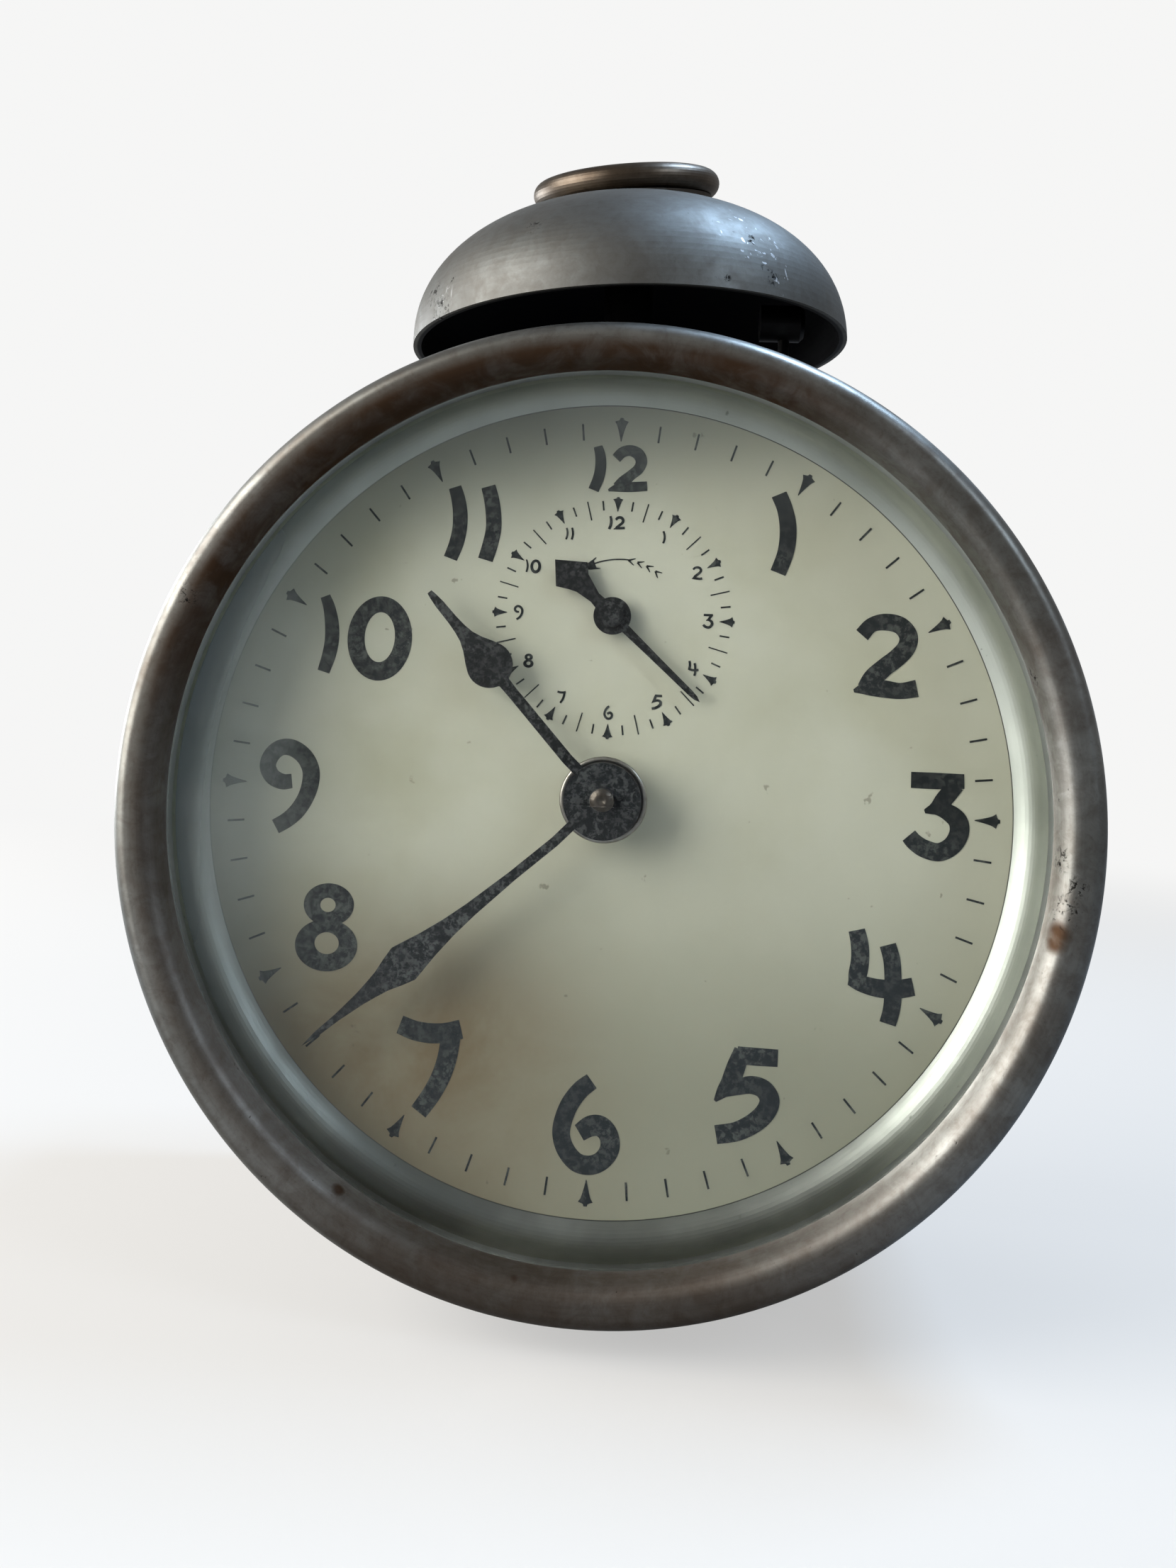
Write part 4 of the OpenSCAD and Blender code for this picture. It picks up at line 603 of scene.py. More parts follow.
def flakedBlack(name, look):
    # black print or enamel that has gone grey in mottled flakes; fade adds to it towards the dial's left
    made, tree, shader, where = startMaterial(name, Roughness=look["rough"], Specular_IOR_Level=0.15)
    flakes = noiseOf(tree, where, look["scale"], 6.0, 0.7, 0.15)
    broad = noiseOf(tree, where, look["broadScale"], 4.0, 0.6)
    mask = sums(tree, "MULTIPLY", ramp(tree, flakes, 0.46, 0.60), ramp(tree, broad, 0.35, 0.65, 0.25, 1.0))
    mask = sums(tree, "MULTIPLY", mask, look["amount"])
    across = put(tree, "ShaderNodeSeparateXYZ", {0: where}).outputs["X"]
    flaked = ramp(tree, noiseOf(tree, where, look["scale"] * 0.7, 6.0, 0.7, 0.3), 0.44, 0.56, 0.2, 1.0)
    faded = ramp(tree, across, *inMm(look["fadeAcross"]), 0.0, look["fade"])
    mask = sums(tree, "ADD", mask, sums(tree, "MULTIPLY", faded, flaked), clamp=True)
    base = blendColours(tree, mask, colour(*look["dark"]), colour(*look["grey"]))
    tree.links.new(base, shader.inputs["Base Color"])
    roughen(tree, shader, flakes, 0.15)
    return made


blackLooks = {
    "handBlack": {"dark": (9, 11, 13), "grey": (92, 95, 93), "amount": 0.50, "scale": 1500.0,
                  "broadScale": 120.0, "fade": 0.15, "fadeAcross": (-6.0, -42.0), "rough": 0.55},
    "printInk": {"dark": (25, 29, 30), "grey": (98, 101, 96), "amount": 0.42, "scale": 1300.0,
                 "broadScale": 120.0, "fade": 0.30, "fadeAcross": (-6.0, -42.0), "rough": 0.65},
}

glassLook = {"bend": 1.30, "smearScale": 90.0, "rough": (0.012, 0.05), "clean": (0.985, 0.988, 0.982, 1),
             "smeared": (0.955, 0.962, 0.955, 1)}


def clearGlass(look):
    # glass that lets lamp light through to the dial instead of casting a shadow on it
    made, tree, shader, where = startMaterial("clearGlass", IOR=look["bend"], Transmission_Weight=1.0)
    smear = noiseOf(tree, where, look["smearScale"], 5.0, 0.6, 0.4)
    tree.links.new(ramp(tree, smear, 0.45, 0.75, *look["rough"]), shader.inputs["Roughness"])
    tint = blendColours(tree, ramp(tree, smear, 0.3, 0.8), look["clean"], look["smeared"])
    tree.links.new(tint, shader.inputs["Base Color"])
    path = put(tree, "ShaderNodeLightPath")
    passing = put(tree, "ShaderNodeBsdfTransparent", {"Color": tint})
    mix = put(tree, "ShaderNodeMixShader", {0: path.outputs["Is Shadow Ray"], 1: shader.outputs[0],
                                            2: passing.outputs[0]})
    tree.links.new(mix.outputs[0], tree.nodes["Material Output"].inputs["Surface"])
    return made


# Haze: places in mm from the hands' line
filmLook = {"dustAndReflection": (124, 130, 128), "veilScale": 34.0, "leftAcross": (-30.0, -50.0), "left": 0.50,
            "edgeRadius": (45.5, 50.0), "edgeAcross": (-10.0, -34.0), "edge": 0.46,
            "clearerUp": (-34.0, -6.0), "topUp": (30.0, 54.0), "top": 0.28}


def hazeAndReflectionFilm(look):
    # dust and haze on the inside of the glass, thickest along the left edge and thinner at the top, with a
    # painted reflection as a milky band along the ring on the left
    made, tree, shader, where = startMaterial("hazeAndReflectionFilm", Roughness=0.8, Specular_IOR_Level=0.1)
    veil = noiseOf(tree, where, look["veilScale"], 4.0, 0.55, 0.5)
    shader.inputs["Base Color"].default_value = colour(*look["dustAndReflection"])
    ring = placeGroup(tree, dialRadius, {"Vector": where})
    left = ramp(tree, ring["Across"], *inMm(look["leftAcross"]), 0.0, look["left"])
    upper = ramp(tree, ring["Up"], *inMm(look["topUp"]), 0.0, look["top"])
    # painted reflection: a milky band along the ring on the left side
    edge = sums(tree, "MULTIPLY", ramp(tree, ring["Radius"], *inMm(look["edgeRadius"]), 0.0, look["edge"]),
                ramp(tree, ring["Across"], *inMm(look["edgeAcross"])))
    left = sums(tree, "MULTIPLY", sums(tree, "ADD", left, edge),
                ramp(tree, ring["Up"], *inMm(look["clearerUp"]), 0.3, 1.0))
    veiled = ramp(tree, veil, 0.25, 0.75, 0.7, 1.0)
    tree.links.new(sums(tree, "MULTIPLY", sums(tree, "MAXIMUM", left, upper), veiled), shader.inputs["Alpha"])
    return made


finishes = {name: platedMetal(name, metalLooks[name]) for name in
            ("caseNickel", "brightNickel", "capTarnish", "bareSteel", "darkSteel", "blueSpring", "pinSteel",
             "colletNickel")}
finishes.update({
    "rimNickel": rimNickel(rimLook),
    "bellNickel": bellNickel(bellLook),
    "satinRing": satinRing(ringLook),
    "wheelBrass": wheelBrass(brassLook),
    "dialPaper": dialPaper(paperLook),
    "handBlack": flakedBlack("handBlack", blackLooks["handBlack"]),
    "printInk": flakedBlack("printInk", blackLooks["printInk"]),
    "clearGlass": clearGlass(glassLook),
    "hazeAndReflectionFilm": hazeAndReflectionFilm(filmLook),
})

nodeFinish = {
    "rimNickel": ["front_rim"],
    "caseNickel": ["case_drum", "back_cover", "foot_left", "foot_right", "foot_rear", "set_knob",
                   "alarm_knob", "time_key", "alarm_key", "bell_nut"],
    "brightNickel": ["cannon_pinion"],
    "colletNickel": ["hand_collet"],
    "bellNickel": ["bell"],
    "capTarnish": ["bell_cap"],
    "darkSteel": ["bell_post", "hammer"],
    "satinRing": ["sight_ring"],
    "dialPaper": ["dial_plate"],
    "clearGlass": ["glass"],
    "handBlack": ["minute_hand", "hour_hand", "alarm_hand"],
    "blueSpring": ["time_mainspring", "alarm_mainspring", "hairspring"],
    "wheelBrass": ["front_plate", "back_plate", "pillars", "rear_posts", "hairspring_stud", "release_spring",
                   "friction_spring", "hour_wheel", "minute_wheel", "alarm_wheel", "time_great_wheel",
                   "alarm_great_wheel", "centre_wheel", "third_wheel", "fourth_wheel", "escape_wheel",
                   "balance_wheel", "alarm_escape_wheel"],
}
finishOf = {node: finish for finish, group in nodeFinish.items() for node in group}
for name, node in nodes.items():
    node.data.materials.clear()
    node.data.materials.append(finishes[finishOf.get(name, "bareSteel")])
print("materials placed")


def keep(piece, finish, body):
    piece.data.materials.clear()
    piece.data.materials.append(finishes[finish])
    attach(piece, body)
    return piece


# The dial's print

# How far the print stands off the paper in mm; strokes that cross lie one step apart
inkLook = {"thick": 0.03, "lift": 0.012, "step": 0.004}


def onDial(flat, lift):
    # flat: x, y on the dial in mm from its middle; lift: mm in front of its face
    flat = np.asarray(flat, float)
    return dialMiddle + mm * np.stack([flat[..., 0], np.full(flat.shape[:-1], -lift), flat[..., 1]], -1)


def ribbon(path, widths, lift=inkLook["lift"]):
    # a flat bar carried along a path: left and right = path +- normal * width / 2, front and back faces
    path, widths = np.asarray(path, float), np.asarray(widths, float)[:, None]
    along = np.gradient(path, axis=0)
    along /= np.linalg.norm(along, axis=1, keepdims=True)
    side = np.stack([-along[:, 1], along[:, 0]], -1) * widths / 2
    front = lift + inkLook["thick"]
    corners = np.stack([onDial(path + side, front), onDial(path - side, front), onDial(path - side, lift),
                        onDial(path + side, lift)], 1)
    count = len(path)
    faces = gridFaces(count, 4, wrapCols=True).tolist()
    last = 4 * (count - 1)
    return corners.reshape(-1, 3), faces + [[3, 2, 1, 0], [last, last + 1, last + 2, last + 3]]


def gather(name, parts):
    # one printed piece from many ribbons and rings
    points, faces, start = [], [], 0
    for partPoints, partFaces in parts:
        points.append(partPoints)
        faces += [[corner + start for corner in face] for face in partFaces]
        start += len(partPoints)
    piece = makeMesh(name, np.vstack(points), faces, False)
    return keep(tidyMesh(piece), "printInk", "case")


# Strokes of the numerals: x, y and width in mm, each stroke along its own middle line
strokes = {
    "12": [[(-2.85, 43.6, 1.1), (-2.5, 42.4, 1.3), (-2.4, 41.0, 1.4), (-2.6, 39.6, 1.4),
            (-3.15, 38.05, 1.35)],
           [(-0.5, 42.15, 1.3), (0.25, 42.95, 1.35), (1.25, 43.2, 1.4), (2.2, 42.8, 1.5), (2.65, 41.9, 1.45),
            (2.35, 40.95, 1.35), (1.45, 40.1, 1.3), (0.5, 39.2, 1.5), (-0.3, 38.5, 1.2)],
           [(-1.3, 38.1, 0.3), (-0.2, 38.45, 1.0), (1.4, 38.6, 1.25), (3.5, 38.8, 1.2)]],
    "1": [[(19.8, 38.4, 1.95), (20.55, 36.7, 1.95), (21.0, 34.7, 2.05), (21.05, 32.7, 2.05),
           (20.75, 30.8, 2.0), (20.0, 28.65, 1.95)]],
    "2": [[(30.4, 21.5, 1.85), (31.5, 22.75, 1.8), (33.1, 23.2, 2.05), (34.9, 22.9, 2.15),
           (35.95, 21.7, 2.25), (35.8, 20.3, 2.2), (34.7, 18.95, 2.2), (33.2, 17.7, 2.2), (31.8, 16.3, 2.3),
           (30.7, 15.0, 1.6)],
          [(29.6, 14.7, 0.4), (31.2, 15.1, 1.7), (33.2, 15.1, 2.1), (35.2, 14.95, 1.95),
           (37.15, 15.35, 2.1)]],
    "3": [[(36.7, 4.4, 1.92), (39.8, 4.42, 1.95), (43.0, 4.52, 1.75)],
          [(42.1, 4.1, 1.9), (40.9, 2.6, 2.05), (39.9, 1.35, 1.8), (38.4, 0.7, 0.4)],
          [(38.4, 0.75, 0.5), (39.6, 1.1, 1.35), (41.0, 0.85, 2.0), (42.3, -0.15, 2.3), (42.5, -1.6, 2.3),
           (41.7, -3.1, 2.2), (40.2, -3.95, 2.15), (38.5, -3.65, 2.15), (37.3, -2.95, 2.05),
           (36.6, -2.2, 1.95)]],
    "4": [[(30.75, -13.6, 1.95), (31.15, -15.2, 2.1), (31.25, -17.0, 2.15), (31.0, -18.8, 2.15),
           (30.75, -20.0, 1.6)],
          [(29.95, -19.5, 1.0), (31.3, -19.75, 1.85), (33.3, -20.15, 2.1), (35.5, -20.2, 2.15),
           (37.55, -19.75, 2.1)],
          [(34.45, -15.1, 1.95), (34.95, -16.8, 2.0), (35.15, -18.8, 2.0), (35.2, -20.8, 2.05),
           (35.05, -22.6, 2.0), (34.65, -24.2, 1.95)]],
    "5": [[(17.2, -28.9, 2.05), (19.6, -28.95, 2.05), (21.95, -28.95, 2.0)],
          [(17.75, -28.3, 1.9), (17.1, -30.2, 2.2), (16.5, -32.0, 2.2), (15.6, -33.2, 1.5),
           (14.75, -34.3, 0.35)],
          [(15.6, -33.3, 1.1), (17.2, -32.65, 1.7), (18.9, -32.2, 2.05), (20.4, -32.6, 2.2),
           (21.15, -33.8, 2.35), (20.7, -35.2, 2.35), (19.4, -36.5, 2.3), (17.4, -37.6, 2.2),
           (15.0, -38.12, 2.15)]],
    "6": [[(0.1, -33.0, 1.98), (-1.25, -34.15, 2.1), (-2.45, -35.9, 2.15), (-3.15, -38.0, 2.15),
           (-3.2, -39.6, 2.1), (-2.5, -41.2, 2.15), (-1.2, -42.4, 2.2), (0.4, -42.6, 2.2),
           (1.8, -41.9, 2.2), (2.6, -40.5, 2.3), (2.35, -39.0, 2.3), (1.4, -38.1, 2.4), (0.2, -38.15, 2.4),
           (-1.1, -39.0, 2.05)]],
    "7": [[(-23.35, -27.9, 2.2), (-21.5, -28.5, 2.3), (-19.5, -28.7, 2.35), (-17.6, -28.5, 2.3),
           (-15.9, -28.0, 2.25)],
          [(-16.95, -27.9, 2.2), (-17.15, -29.6, 2.35), (-17.4, -31.5, 2.35), (-18.0, -33.6, 2.3),
           (-19.0, -35.7, 2.25), (-20.45, -37.9, 2.15)]],
    "9": [[(-38.65, 0.35, 1.75), (-39.8, 0.2, 1.9), (-41.1, 0.75, 2.0), (-41.8, 2.0, 2.05),
           (-41.4, 3.4, 2.05), (-40.3, 4.35, 2.0), (-38.8, 4.35, 2.05), (-37.3, 3.4, 2.1),
           (-36.4, 1.9, 2.15), (-36.3, 0.3, 2.15), (-36.75, -1.5, 2.05), (-37.7, -3.2, 2.0),
           (-38.9, -4.4, 1.9), (-40.3, -5.3, 1.85)]],
    "10": [[(-36.05, 23.35, 1.25), (-35.45, 21.9, 1.5), (-35.0, 20.0, 1.75), (-34.85, 18.0, 1.8),
            (-35.1, 16.0, 1.75), (-35.65, 13.95, 1.55)]],
    "11": [[(-20.55, 37.75, 1.6), (-20.05, 36.3, 1.75), (-19.7, 34.5, 1.85), (-19.65, 32.6, 1.85),
            (-19.95, 30.7, 1.85), (-20.6, 28.75, 1.75)],
           [(-16.35, 38.0, 1.8), (-15.85, 36.4, 1.9), (-15.5, 34.5, 1.95), (-15.4, 32.6, 1.95),
            (-15.7, 30.7, 1.95), (-16.2, 28.75, 1.9)]],
    "8": [],
}
# Closed rings of the numerals: middle, outside half sizes, middle of the hole, its half sizes
rings = {
    "8": [((-33.0, -14.3), (3.1, 2.55), (-33.1, -14.35), (0.95, 0.85)),
          ((-33.0, -19.15), (3.85, 3.1), (-32.95, -18.9), (1.5, 1.3))],
    "10": [((-28.85, 18.4), (4.05, 5.25), (-28.85, 18.55), (1.9, 3.1))],
}


def ringPart(middle, outside, hole, inside, lift, count):
    # p(a, s) = hole middle + inside * (cos a, sin a), blended to the outside ellipse by s = 0 or 1
    a = np.linspace(0, 2 * math.pi, count, endpoint=False)[:, None]
    circle = np.hstack([np.cos(a), np.sin(a)])
    outer, inner = np.array(middle) + circle * outside, np.array(hole) + circle * inside
    front = lift + inkLook["thick"]
    corners = np.stack([onDial(inner, front), onDial(outer, front), onDial(outer, lift),
                        onDial(inner, lift)], 1)
    return corners.reshape(-1, 3), gridFaces(count, 4, wrapRows=True, wrapCols=True).tolist()


def numeralParts(key, shrink=1.0, place=None, perSpan=8, heavier=1.0):
    # the numeral at its own size and place, or shrunk about its own middle and set on another place
    everyPoint = [point[:2] for stroke in strokes[key] for point in stroke]
    for middle, outside, hole, inside in rings.get(key, []):
        everyPoint += [np.subtract(middle, outside), np.add(middle, outside)]
    everyPoint = np.array(everyPoint, float)
    centre = (everyPoint.min(0) + everyPoint.max(0)) / 2
    spot = centre if place is None else np.array(place)
    spokes = 48 if shrink == 1 else 24

    def move(p):
        return (np.asarray(p, float) - centre) * shrink + spot

    parts = []
    for order, stroke in enumerate(strokes[key]):
        path = smoothPath(stroke, perSpan)
        lift = inkLook["lift"] + inkLook["step"] * order
        parts.append(ribbon(move(path[:, :2]), path[:, 2] * shrink * heavier, lift))
    for order, (middle, outside, hole, inside) in enumerate(rings.get(key, [])):
        lift = inkLook["lift"] + inkLook["step"] * (order + 1)
        parts.append(ringPart(move(middle), np.multiply(outside, shrink), move(hole),
                              np.multiply(inside, shrink), lift, spokes))
    return parts


gather("hourNumerals", sum([numeralParts(key) for key in strokes], []))

# Small dial: places and sizes in mm; its numerals are the large ones shrunk to these heights
alarmDial = {"middle": (0.0, 22.35), "numeralRadius": 11.7, "numeralWeight": 0.85,
             "darts": (13.1, 14.95, 1.3), "quarters": (13.3, 14.5, 0.2), "halves": (12.3, 14.7, 0.16)}
smallHeights = {"12": 1.7, "1": 1.6, "2": 1.75, "3": 1.9, "4": 1.9, "5": 1.95, "6": 1.8, "7": 1.6, "8": 1.75,
                "9": 1.9, "10": 1.75, "11": 1.6}
bigHeights = {"12": 5.8, "1": 10.3, "2": 10.3, "3": 10.5, "4": 11.2, "5": 11.3, "6": 11.4, "7": 11.6,
              "8": 10.5, "9": 11.3, "10": 10.5, "11": 10.0}


def polar(radius, turns):
    # turns: share of a whole turn, clockwise from 12
    return np.stack([radius * np.sin(2 * math.pi * turns), radius * np.cos(2 * math.pi * turns)], -1)


smallParts = []
for key in strokes:
    spot = np.array(alarmDial["middle"]) + polar(alarmDial["numeralRadius"], np.array(int(key) / 12))
    smallParts += numeralParts(key, smallHeights[key] / bigHeights[key], spot, 3, alarmDial["numeralWeight"])
gather("alarmNumerals", smallParts)


def radialMarks(middle, turns, fromR, toR, width):
    return [ribbon(np.array(middle) + polar(np.array([fromR, toR]), turn), [width, width]) for turn in turns]


def dartAt(middle, turn, tipR, tailR, wing):
    # an arrowhead that points at the middle: its width rises to the wings, then nips in to a tail
    share = np.array([0.0, 0.25, 0.50, 0.70, 0.84, 0.87, 0.91, 1.0])
    width = wing * np.array([0.06, 0.24, 0.46, 0.68, 1.0, 0.66, 0.32, 0.24])
    path = np.array(middle) + polar(tipR + share * (tailR - tipR), np.full(len(share), turn))
    return ribbon(path, width)


# Marks: inner radius, outer radius and width in mm
marksLook = {"middle": (0.0, 0.0), "minutes": (44.5, 46.6, 0.25), "darts": (44.3, 47.3, 1.75)}
minutes = [m / 60 for m in range(60) if m % 5]
gather("minuteMarks", radialMarks(marksLook["middle"], minutes, *marksLook["minutes"]))
gather("hourDarts", [dartAt(marksLook["middle"], h / 12, *marksLook["darts"]) for h in range(12)])
quarters = [(h + q / 4) / 12 for h in range(12) for q in (1, 3)]
halves = [(h + 0.5) / 12 for h in range(12)]
gather("alarmMarks", radialMarks(alarmDial["middle"], quarters, *alarmDial["quarters"])
       + radialMarks(alarmDial["middle"], halves, *alarmDial["halves"]))
gather("alarmDarts", [dartAt(alarmDial["middle"], h / 12, *alarmDial["darts"]) for h in range(12)])

# Curved arrow that shows which way the alarm hand is set: turns and radii of its shaft, head and feathers
arrowLook = {"shaft": [(-0.066, 7.03), (-0.035, 7.04), (-0.005, 7.12), (0.026, 7.27), (0.040, 7.32)],
             "shaftWidth": 0.17, "tip": (-0.097, 7.06), "headLength": 2.1, "headWidth": 1.45, "fill": 0.8,
             "fillWidths": (0.06, 0.36, 0.62), "barbWidths": (0.1, 0.34, 0.08), "barbHollow": 0.05,
             "feathers": [(0.036, 7.28), (0.060, 7.40), (0.086, 7.55), (0.112, 7.70)],
             "featherBack": 0.765, "featherOut": 0.425, "featherWidths": (0.26, 0.1),
             "fillLift": 0.018, "barbLift": 0.022, "featherLift": 0.016}


def arrowParts(look):
    # a shaft on an arc, a head filled between two barbs, and pairs of feathers swept back from the shaft
    middle = np.array(alarmDial["middle"])
    onArc = np.array([middle + polar(radius, np.array(turn)) for turn, radius in look["shaft"]])
    shaft = smoothPath(onArc, 5)
    parts = [ribbon(shaft, np.full(len(shaft), look["shaftWidth"]))]
    tip = middle + polar(look["tip"][1], np.array(look["tip"][0]))
    along = (onArc[1] - tip) / np.linalg.norm(onArc[1] - tip)
    across = np.array([-along[1], along[0]])
    spine = tip + along * np.array([[0.0], [0.5], [1.0]]) * look["headLength"] * look["fill"]
    parts.append(ribbon(spine, look["headWidth"] * np.array(look["fillWidths"]), look["fillLift"]))
    for side in (-1, 1):
        barb = tip + along * look["headLength"] + across * side * look["headWidth"] / 2
        bow = (tip + barb) / 2 - across * side * look["barbHollow"]
        parts.append(ribbon(np.array([tip, bow, barb]), look["barbWidths"], look["barbLift"]))
    for turn, radius in look["feathers"]:
        spot = middle + polar(radius, np.array(turn))
        tangent, outward = polar(1.0, np.array(turn + 0.25)), polar(1.0, np.array(turn))
        for side in (-1, 1):
            end = spot + tangent * look["featherBack"] + outward * side * look["featherOut"]
            parts.append(ribbon(np.array([spot, end]), look["featherWidths"], look["featherLift"]))
    return parts


gather("turnArrow", arrowParts(arrowLook))
print("dial printed")


# The rolled rim as one smooth turned shell

rimLow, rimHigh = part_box("front_rim")
# Radii and distances forward in mm, as the CAD rim has them
rimForm = {"roll": (54.9, 56.2), "rollHalf": 2.1, "rollDeep": 2.9, "lip": (51.55, 55.05), "crest": 59.1,
           "full": 3.1, "sheet": 0.6, "drumR": 53.5, "skirt": 49.5, "steps": 30, "spokes": 288,
           "sharpDeg": 40}


def rimOutline(look, under):
    # under: depth below the skin in mm. Roll: half an ellipse, out and round; slope: a fuller ellipse,
    # |x|^full + |y|^full = 1, from the crest down to the lip
    a = np.linspace(-math.pi / 2, math.pi / 2, look["steps"])
    b = np.linspace(0, math.pi / 2, look["steps"])[1:]
    (rollR, rollZ), (lipR, lipZ) = look["roll"], look["lip"]
    half, deep = look["rollHalf"] - under, look["rollDeep"] - under
    roll = np.stack([rollR + half * np.cos(a), rollZ + deep * np.sin(a)], -1)
    power = 2 / look["full"]
    slope = np.stack([rollR - (rollR - lipR - under) * np.sin(b) ** power,
                      lipZ + (look["crest"] - lipZ - under) * np.maximum(np.cos(b), 0) ** power], -1)
    return np.vstack([roll, slope])


def addRim(look):
    # p(s, a) = outline(s) turned round the dial's middle line by a
    outside, inside = rimOutline(look, 0.0), rimOutline(look, look["sheet"])
    foot = [[look["drumR"], look["skirt"]], [look["drumR"] + look["sheet"], look["skirt"]]]
    shelf = [[look["drumR"], look["roll"][1] - look["rollDeep"] + look["sheet"]]]
    outline = np.vstack([foot, outside, inside[::-1], shelf])
    a = np.linspace(0, 2 * math.pi, look["spokes"], endpoint=False)[None, :]
    r, z = outline[:, :1] * mm, outline[:, 1:] * mm
    middleX, middleZ = (rimLow[0] + rimHigh[0]) / 2, (rimLow[2] + rimHigh[2]) / 2
    points = np.stack([middleX + r * np.sin(a), rimLow[1] + look["crest"] * mm - z + 0 * a,
                       middleZ + r * np.cos(a)], -1)
    faces = gridFaces(len(outline), look["spokes"], wrapRows=True, wrapCols=True)
    rim = tidyMesh(makeMesh("rolledRim", points.reshape(-1, 3), faces))
    rim.data.set_sharp_from_angle(angle=math.radians(look["sharpDeg"]))
    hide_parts("front_rim")
    return keep(rim, "rimNickel", "case")


addRim(rimForm)


# The collet's rounded edge and the domed pin in the middle of the hands

# Sizes in mm; sink: how far the bead's middle lies behind the collet's front
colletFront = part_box("hand_collet")[0][1]
beadLook = {"radius": 4.90, "wide": 0.38, "half": 0.28, "sink": 0.10, "rings": 14, "spokes": 96}


def addBead(look):
    # p(b, a) = (radius + wide * cos b) turned round the hands' line by a, with the depth half * sin b
    b = np.linspace(0, 2 * math.pi, look["rings"], endpoint=False)[:, None]
    a = np.linspace(0, 2 * math.pi, look["spokes"], endpoint=False)[None, :]
    r = look["radius"] + look["wide"] * np.cos(b) + 0 * a
    y = colletFront + mm * (look["sink"] - look["half"] * np.sin(b)) + 0 * a
    points = np.stack([dialMiddle[0] + mm * r * np.sin(a), y, dialMiddle[2] + mm * r * np.cos(a)], -1)
    faces = gridFaces(look["rings"], look["spokes"], wrapRows=True, wrapCols=True)
    bead = tidyMesh(makeMesh("colletBead", points.reshape(-1, 3), faces))
    return keep(bead, "colletNickel", "hour_work")


addBead(beadLook)

# Sizes in mm; flat: the power that keeps the dome's middle flat
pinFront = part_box("cannon_pinion")[0][1]
pinLook = {"radius": 1.44, "rise": 0.55, "flat": 2.6, "dimple": 0.45, "dimpleDeep": 0.30, "proud": 0.01,
           "skirt": 0.06, "rings": 18, "spokes": 40}


def addPin(look):
    # height(r) = rise * (1 - (r / R)^flat) - dimpleDeep * exp(-(r / dimple)^2), turned round the hands' line
    s = np.linspace(0, 1, look["rings"])[:, None]
    r = look["radius"] * np.sin(s * math.pi / 2)
    a = np.linspace(0, 2 * math.pi, look["spokes"], endpoint=False)[None, :]
    dimple = look["dimpleDeep"] * np.exp(-(r / look["dimple"]) ** 2)
    rise = look["rise"] * (1 - (r / look["radius"]) ** look["flat"]) - dimple
    x, z = r * np.cos(a), r * np.sin(a)
    y = -(rise + look["proud"]) + 0 * a
    front = np.stack([dialMiddle[0] + mm * x, pinFront + mm * y, dialMiddle[2] + mm * z], -1)
    back = front[-1:] + np.array([0, look["skirt"] * mm, 0])
    points = np.vstack([front, back]).reshape(-1, 3)
    faces = gridFaces(look["rings"] + 1, look["spokes"], wrapCols=True).tolist()
    last = look["rings"] * look["spokes"]
    faces.append(list(range(last, last + look["spokes"])))
    return keep(tidyMesh(makeMesh("pinDome", points, faces)), "pinSteel", "minute_arbor")


addPin(pinLook)


# Haze on the inside of the glass, with a painted reflection along the ring on the left

glassLow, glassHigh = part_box("glass")
hazeLook = {"middle": 0.4 * mm, "radius": 50.9 * mm, "gap": 0.12 * mm, "sag": 3.0 * mm, "rings": 24,
            "spokes": 96}


def addHaze(look):
    # a shallow bowl just behind the glass: y = back of the glass at the edge - sag * (1 - (r / R)^2)
    edgeR = (glassHigh[0] - glassLow[0]) / 2
    edgeY = glassHigh[1] + look["gap"]
    r = np.linspace(look["middle"], look["radius"], look["rings"])[:, None]
    a = np.linspace(0, 2 * math.pi, look["spokes"], endpoint=False)[None, :]
    y = edgeY - look["sag"] * (1 - (r / edgeR) ** 2) + 0 * a
    points = np.stack([dialMiddle[0] + r * np.cos(a), y, dialMiddle[2] + r * np.sin(a)], -1)
    faces = gridFaces(look["rings"], look["spokes"], wrapCols=True).tolist()
    faces.append(list(range(look["spokes"]))[::-1])
    return keep(makeMesh("glassHazeAndReflection", points.reshape(-1, 3), faces), "hazeAndReflectionFilm", "case")


addHaze(hazeLook)
print("rim, collet edge, pin and haze added")


# Stage and light

stageLook = {"halfWidth": 6.0, "pale": (0.92, 0.92, 0.915, 1), "paper": (0.735, 0.70, 0.655, 1),
             "bounce": (0.30, 0.30, 0.30, 1), "glow": 0.5, "fadeFrom": 0.20, "fadeTo": 0.60,
             "worldLight": 0.28}


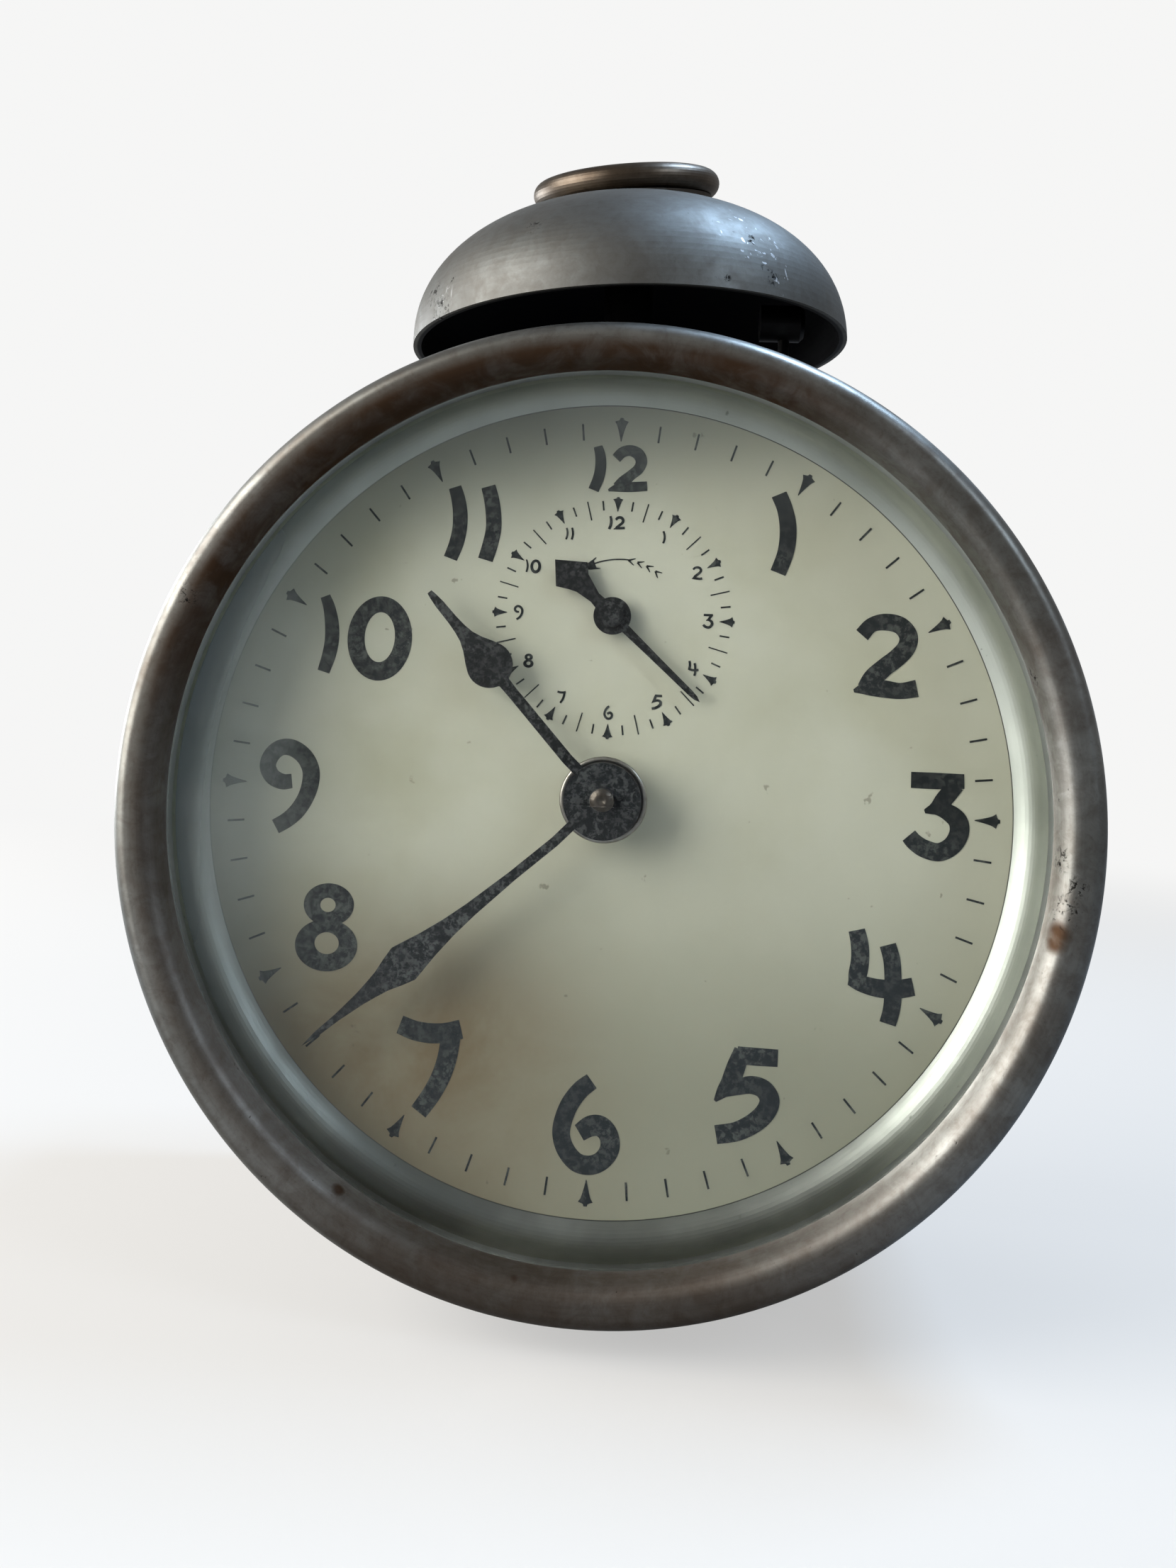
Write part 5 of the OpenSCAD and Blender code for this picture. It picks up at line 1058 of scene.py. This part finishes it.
def addStage(look):
    # a pale floor that fades into an equally pale distance; the object sees both dimmer than the camera does
    half = look["halfWidth"]
    points = np.array([(-half, -half, 0), (half, -half, 0), (half, half, 0), (-half, half, 0)])
    floor = makeMesh("stageFloor", points, [[0, 1, 2, 3]], False)
    made, tree, shader, where = startMaterial("stagePaper", Roughness=1.0, Specular_IOR_Level=0.0)
    path = put(tree, "ShaderNodeLightPath")
    seen = path.outputs["Is Camera Ray"]
    tree.links.new(blendColours(tree, seen, look["bounce"], look["paper"]), shader.inputs["Base Color"])
    reach = put(tree, "ShaderNodeVectorMath", {0: where}, operation="LENGTH").outputs["Value"]
    fade = ramp(tree, reach, look["fadeFrom"], look["fadeTo"], look["glow"], 1.0)
    far = sums(tree, "MULTIPLY", fade, seen)
    distant = put(tree, "ShaderNodeEmission", {"Color": look["pale"], "Strength": 1.0})
    mix = put(tree, "ShaderNodeMixShader", {0: far, 1: shader.outputs[0], 2: distant.outputs[0]})
    tree.links.new(mix.outputs[0], tree.nodes["Material Output"].inputs["Surface"])
    floor.data.materials.append(made)

    world = bpy.data.worlds.new("studio")
    world.use_nodes = True
    bpy.context.scene.world = world
    tree = world.node_tree
    back = tree.nodes["Background"]
    back.inputs["Color"].default_value = look["pale"]
    seen = put(tree, "ShaderNodeLightPath").outputs["Is Camera Ray"]
    tree.links.new(ramp(tree, seen, 0, 1, look["worldLight"], 1.0), back.inputs["Strength"])


# Lamps aim a little above the dial's middle; places and sizes in metres, power in watts
lampAim = (0, 0, 0.07)
lamps = {
    "windowLeft": {"place": (-0.66, -0.29, 0.30), "size": 0.70, "power": 10.9, "tint": (1.0, 0.995, 0.975)},
    "skyRight": {"place": (0.52, -0.40, 0.46), "size": 0.24, "power": 1.05, "tint": (0.66, 0.81, 1.0)},
    "skyStrip": {"place": (0.19, 0.04, 0.50), "size": 0.13, "power": 1.9, "tint": (0.50, 0.71, 1.0)},
    "windowBack": {"place": (-0.58, 0.36, 0.13), "size": 0.36, "power": 3.0, "tint": (0.94, 0.97, 1.0)},
}


def addLamps(table, aim):
    for name, look in table.items():
        data = bpy.data.lights.new(name, "AREA")
        data.size = look["size"]
        data.energy = look["power"]
        data.color = look["tint"]
        lamp = bpy.data.objects.new(name, data)
        lamp.location = look["place"]
        towards = Vector(aim) - Vector(look["place"])
        lamp.rotation_euler = towards.to_track_quat("-Z", "Y").to_euler()
        bpy.context.scene.collection.objects.link(lamp)


addStage(stageLook)
addLamps(lamps, lampAim)
print("stage and lamps set")


def corners(box):
    return [[float(value) for value in corner] for corner in box]
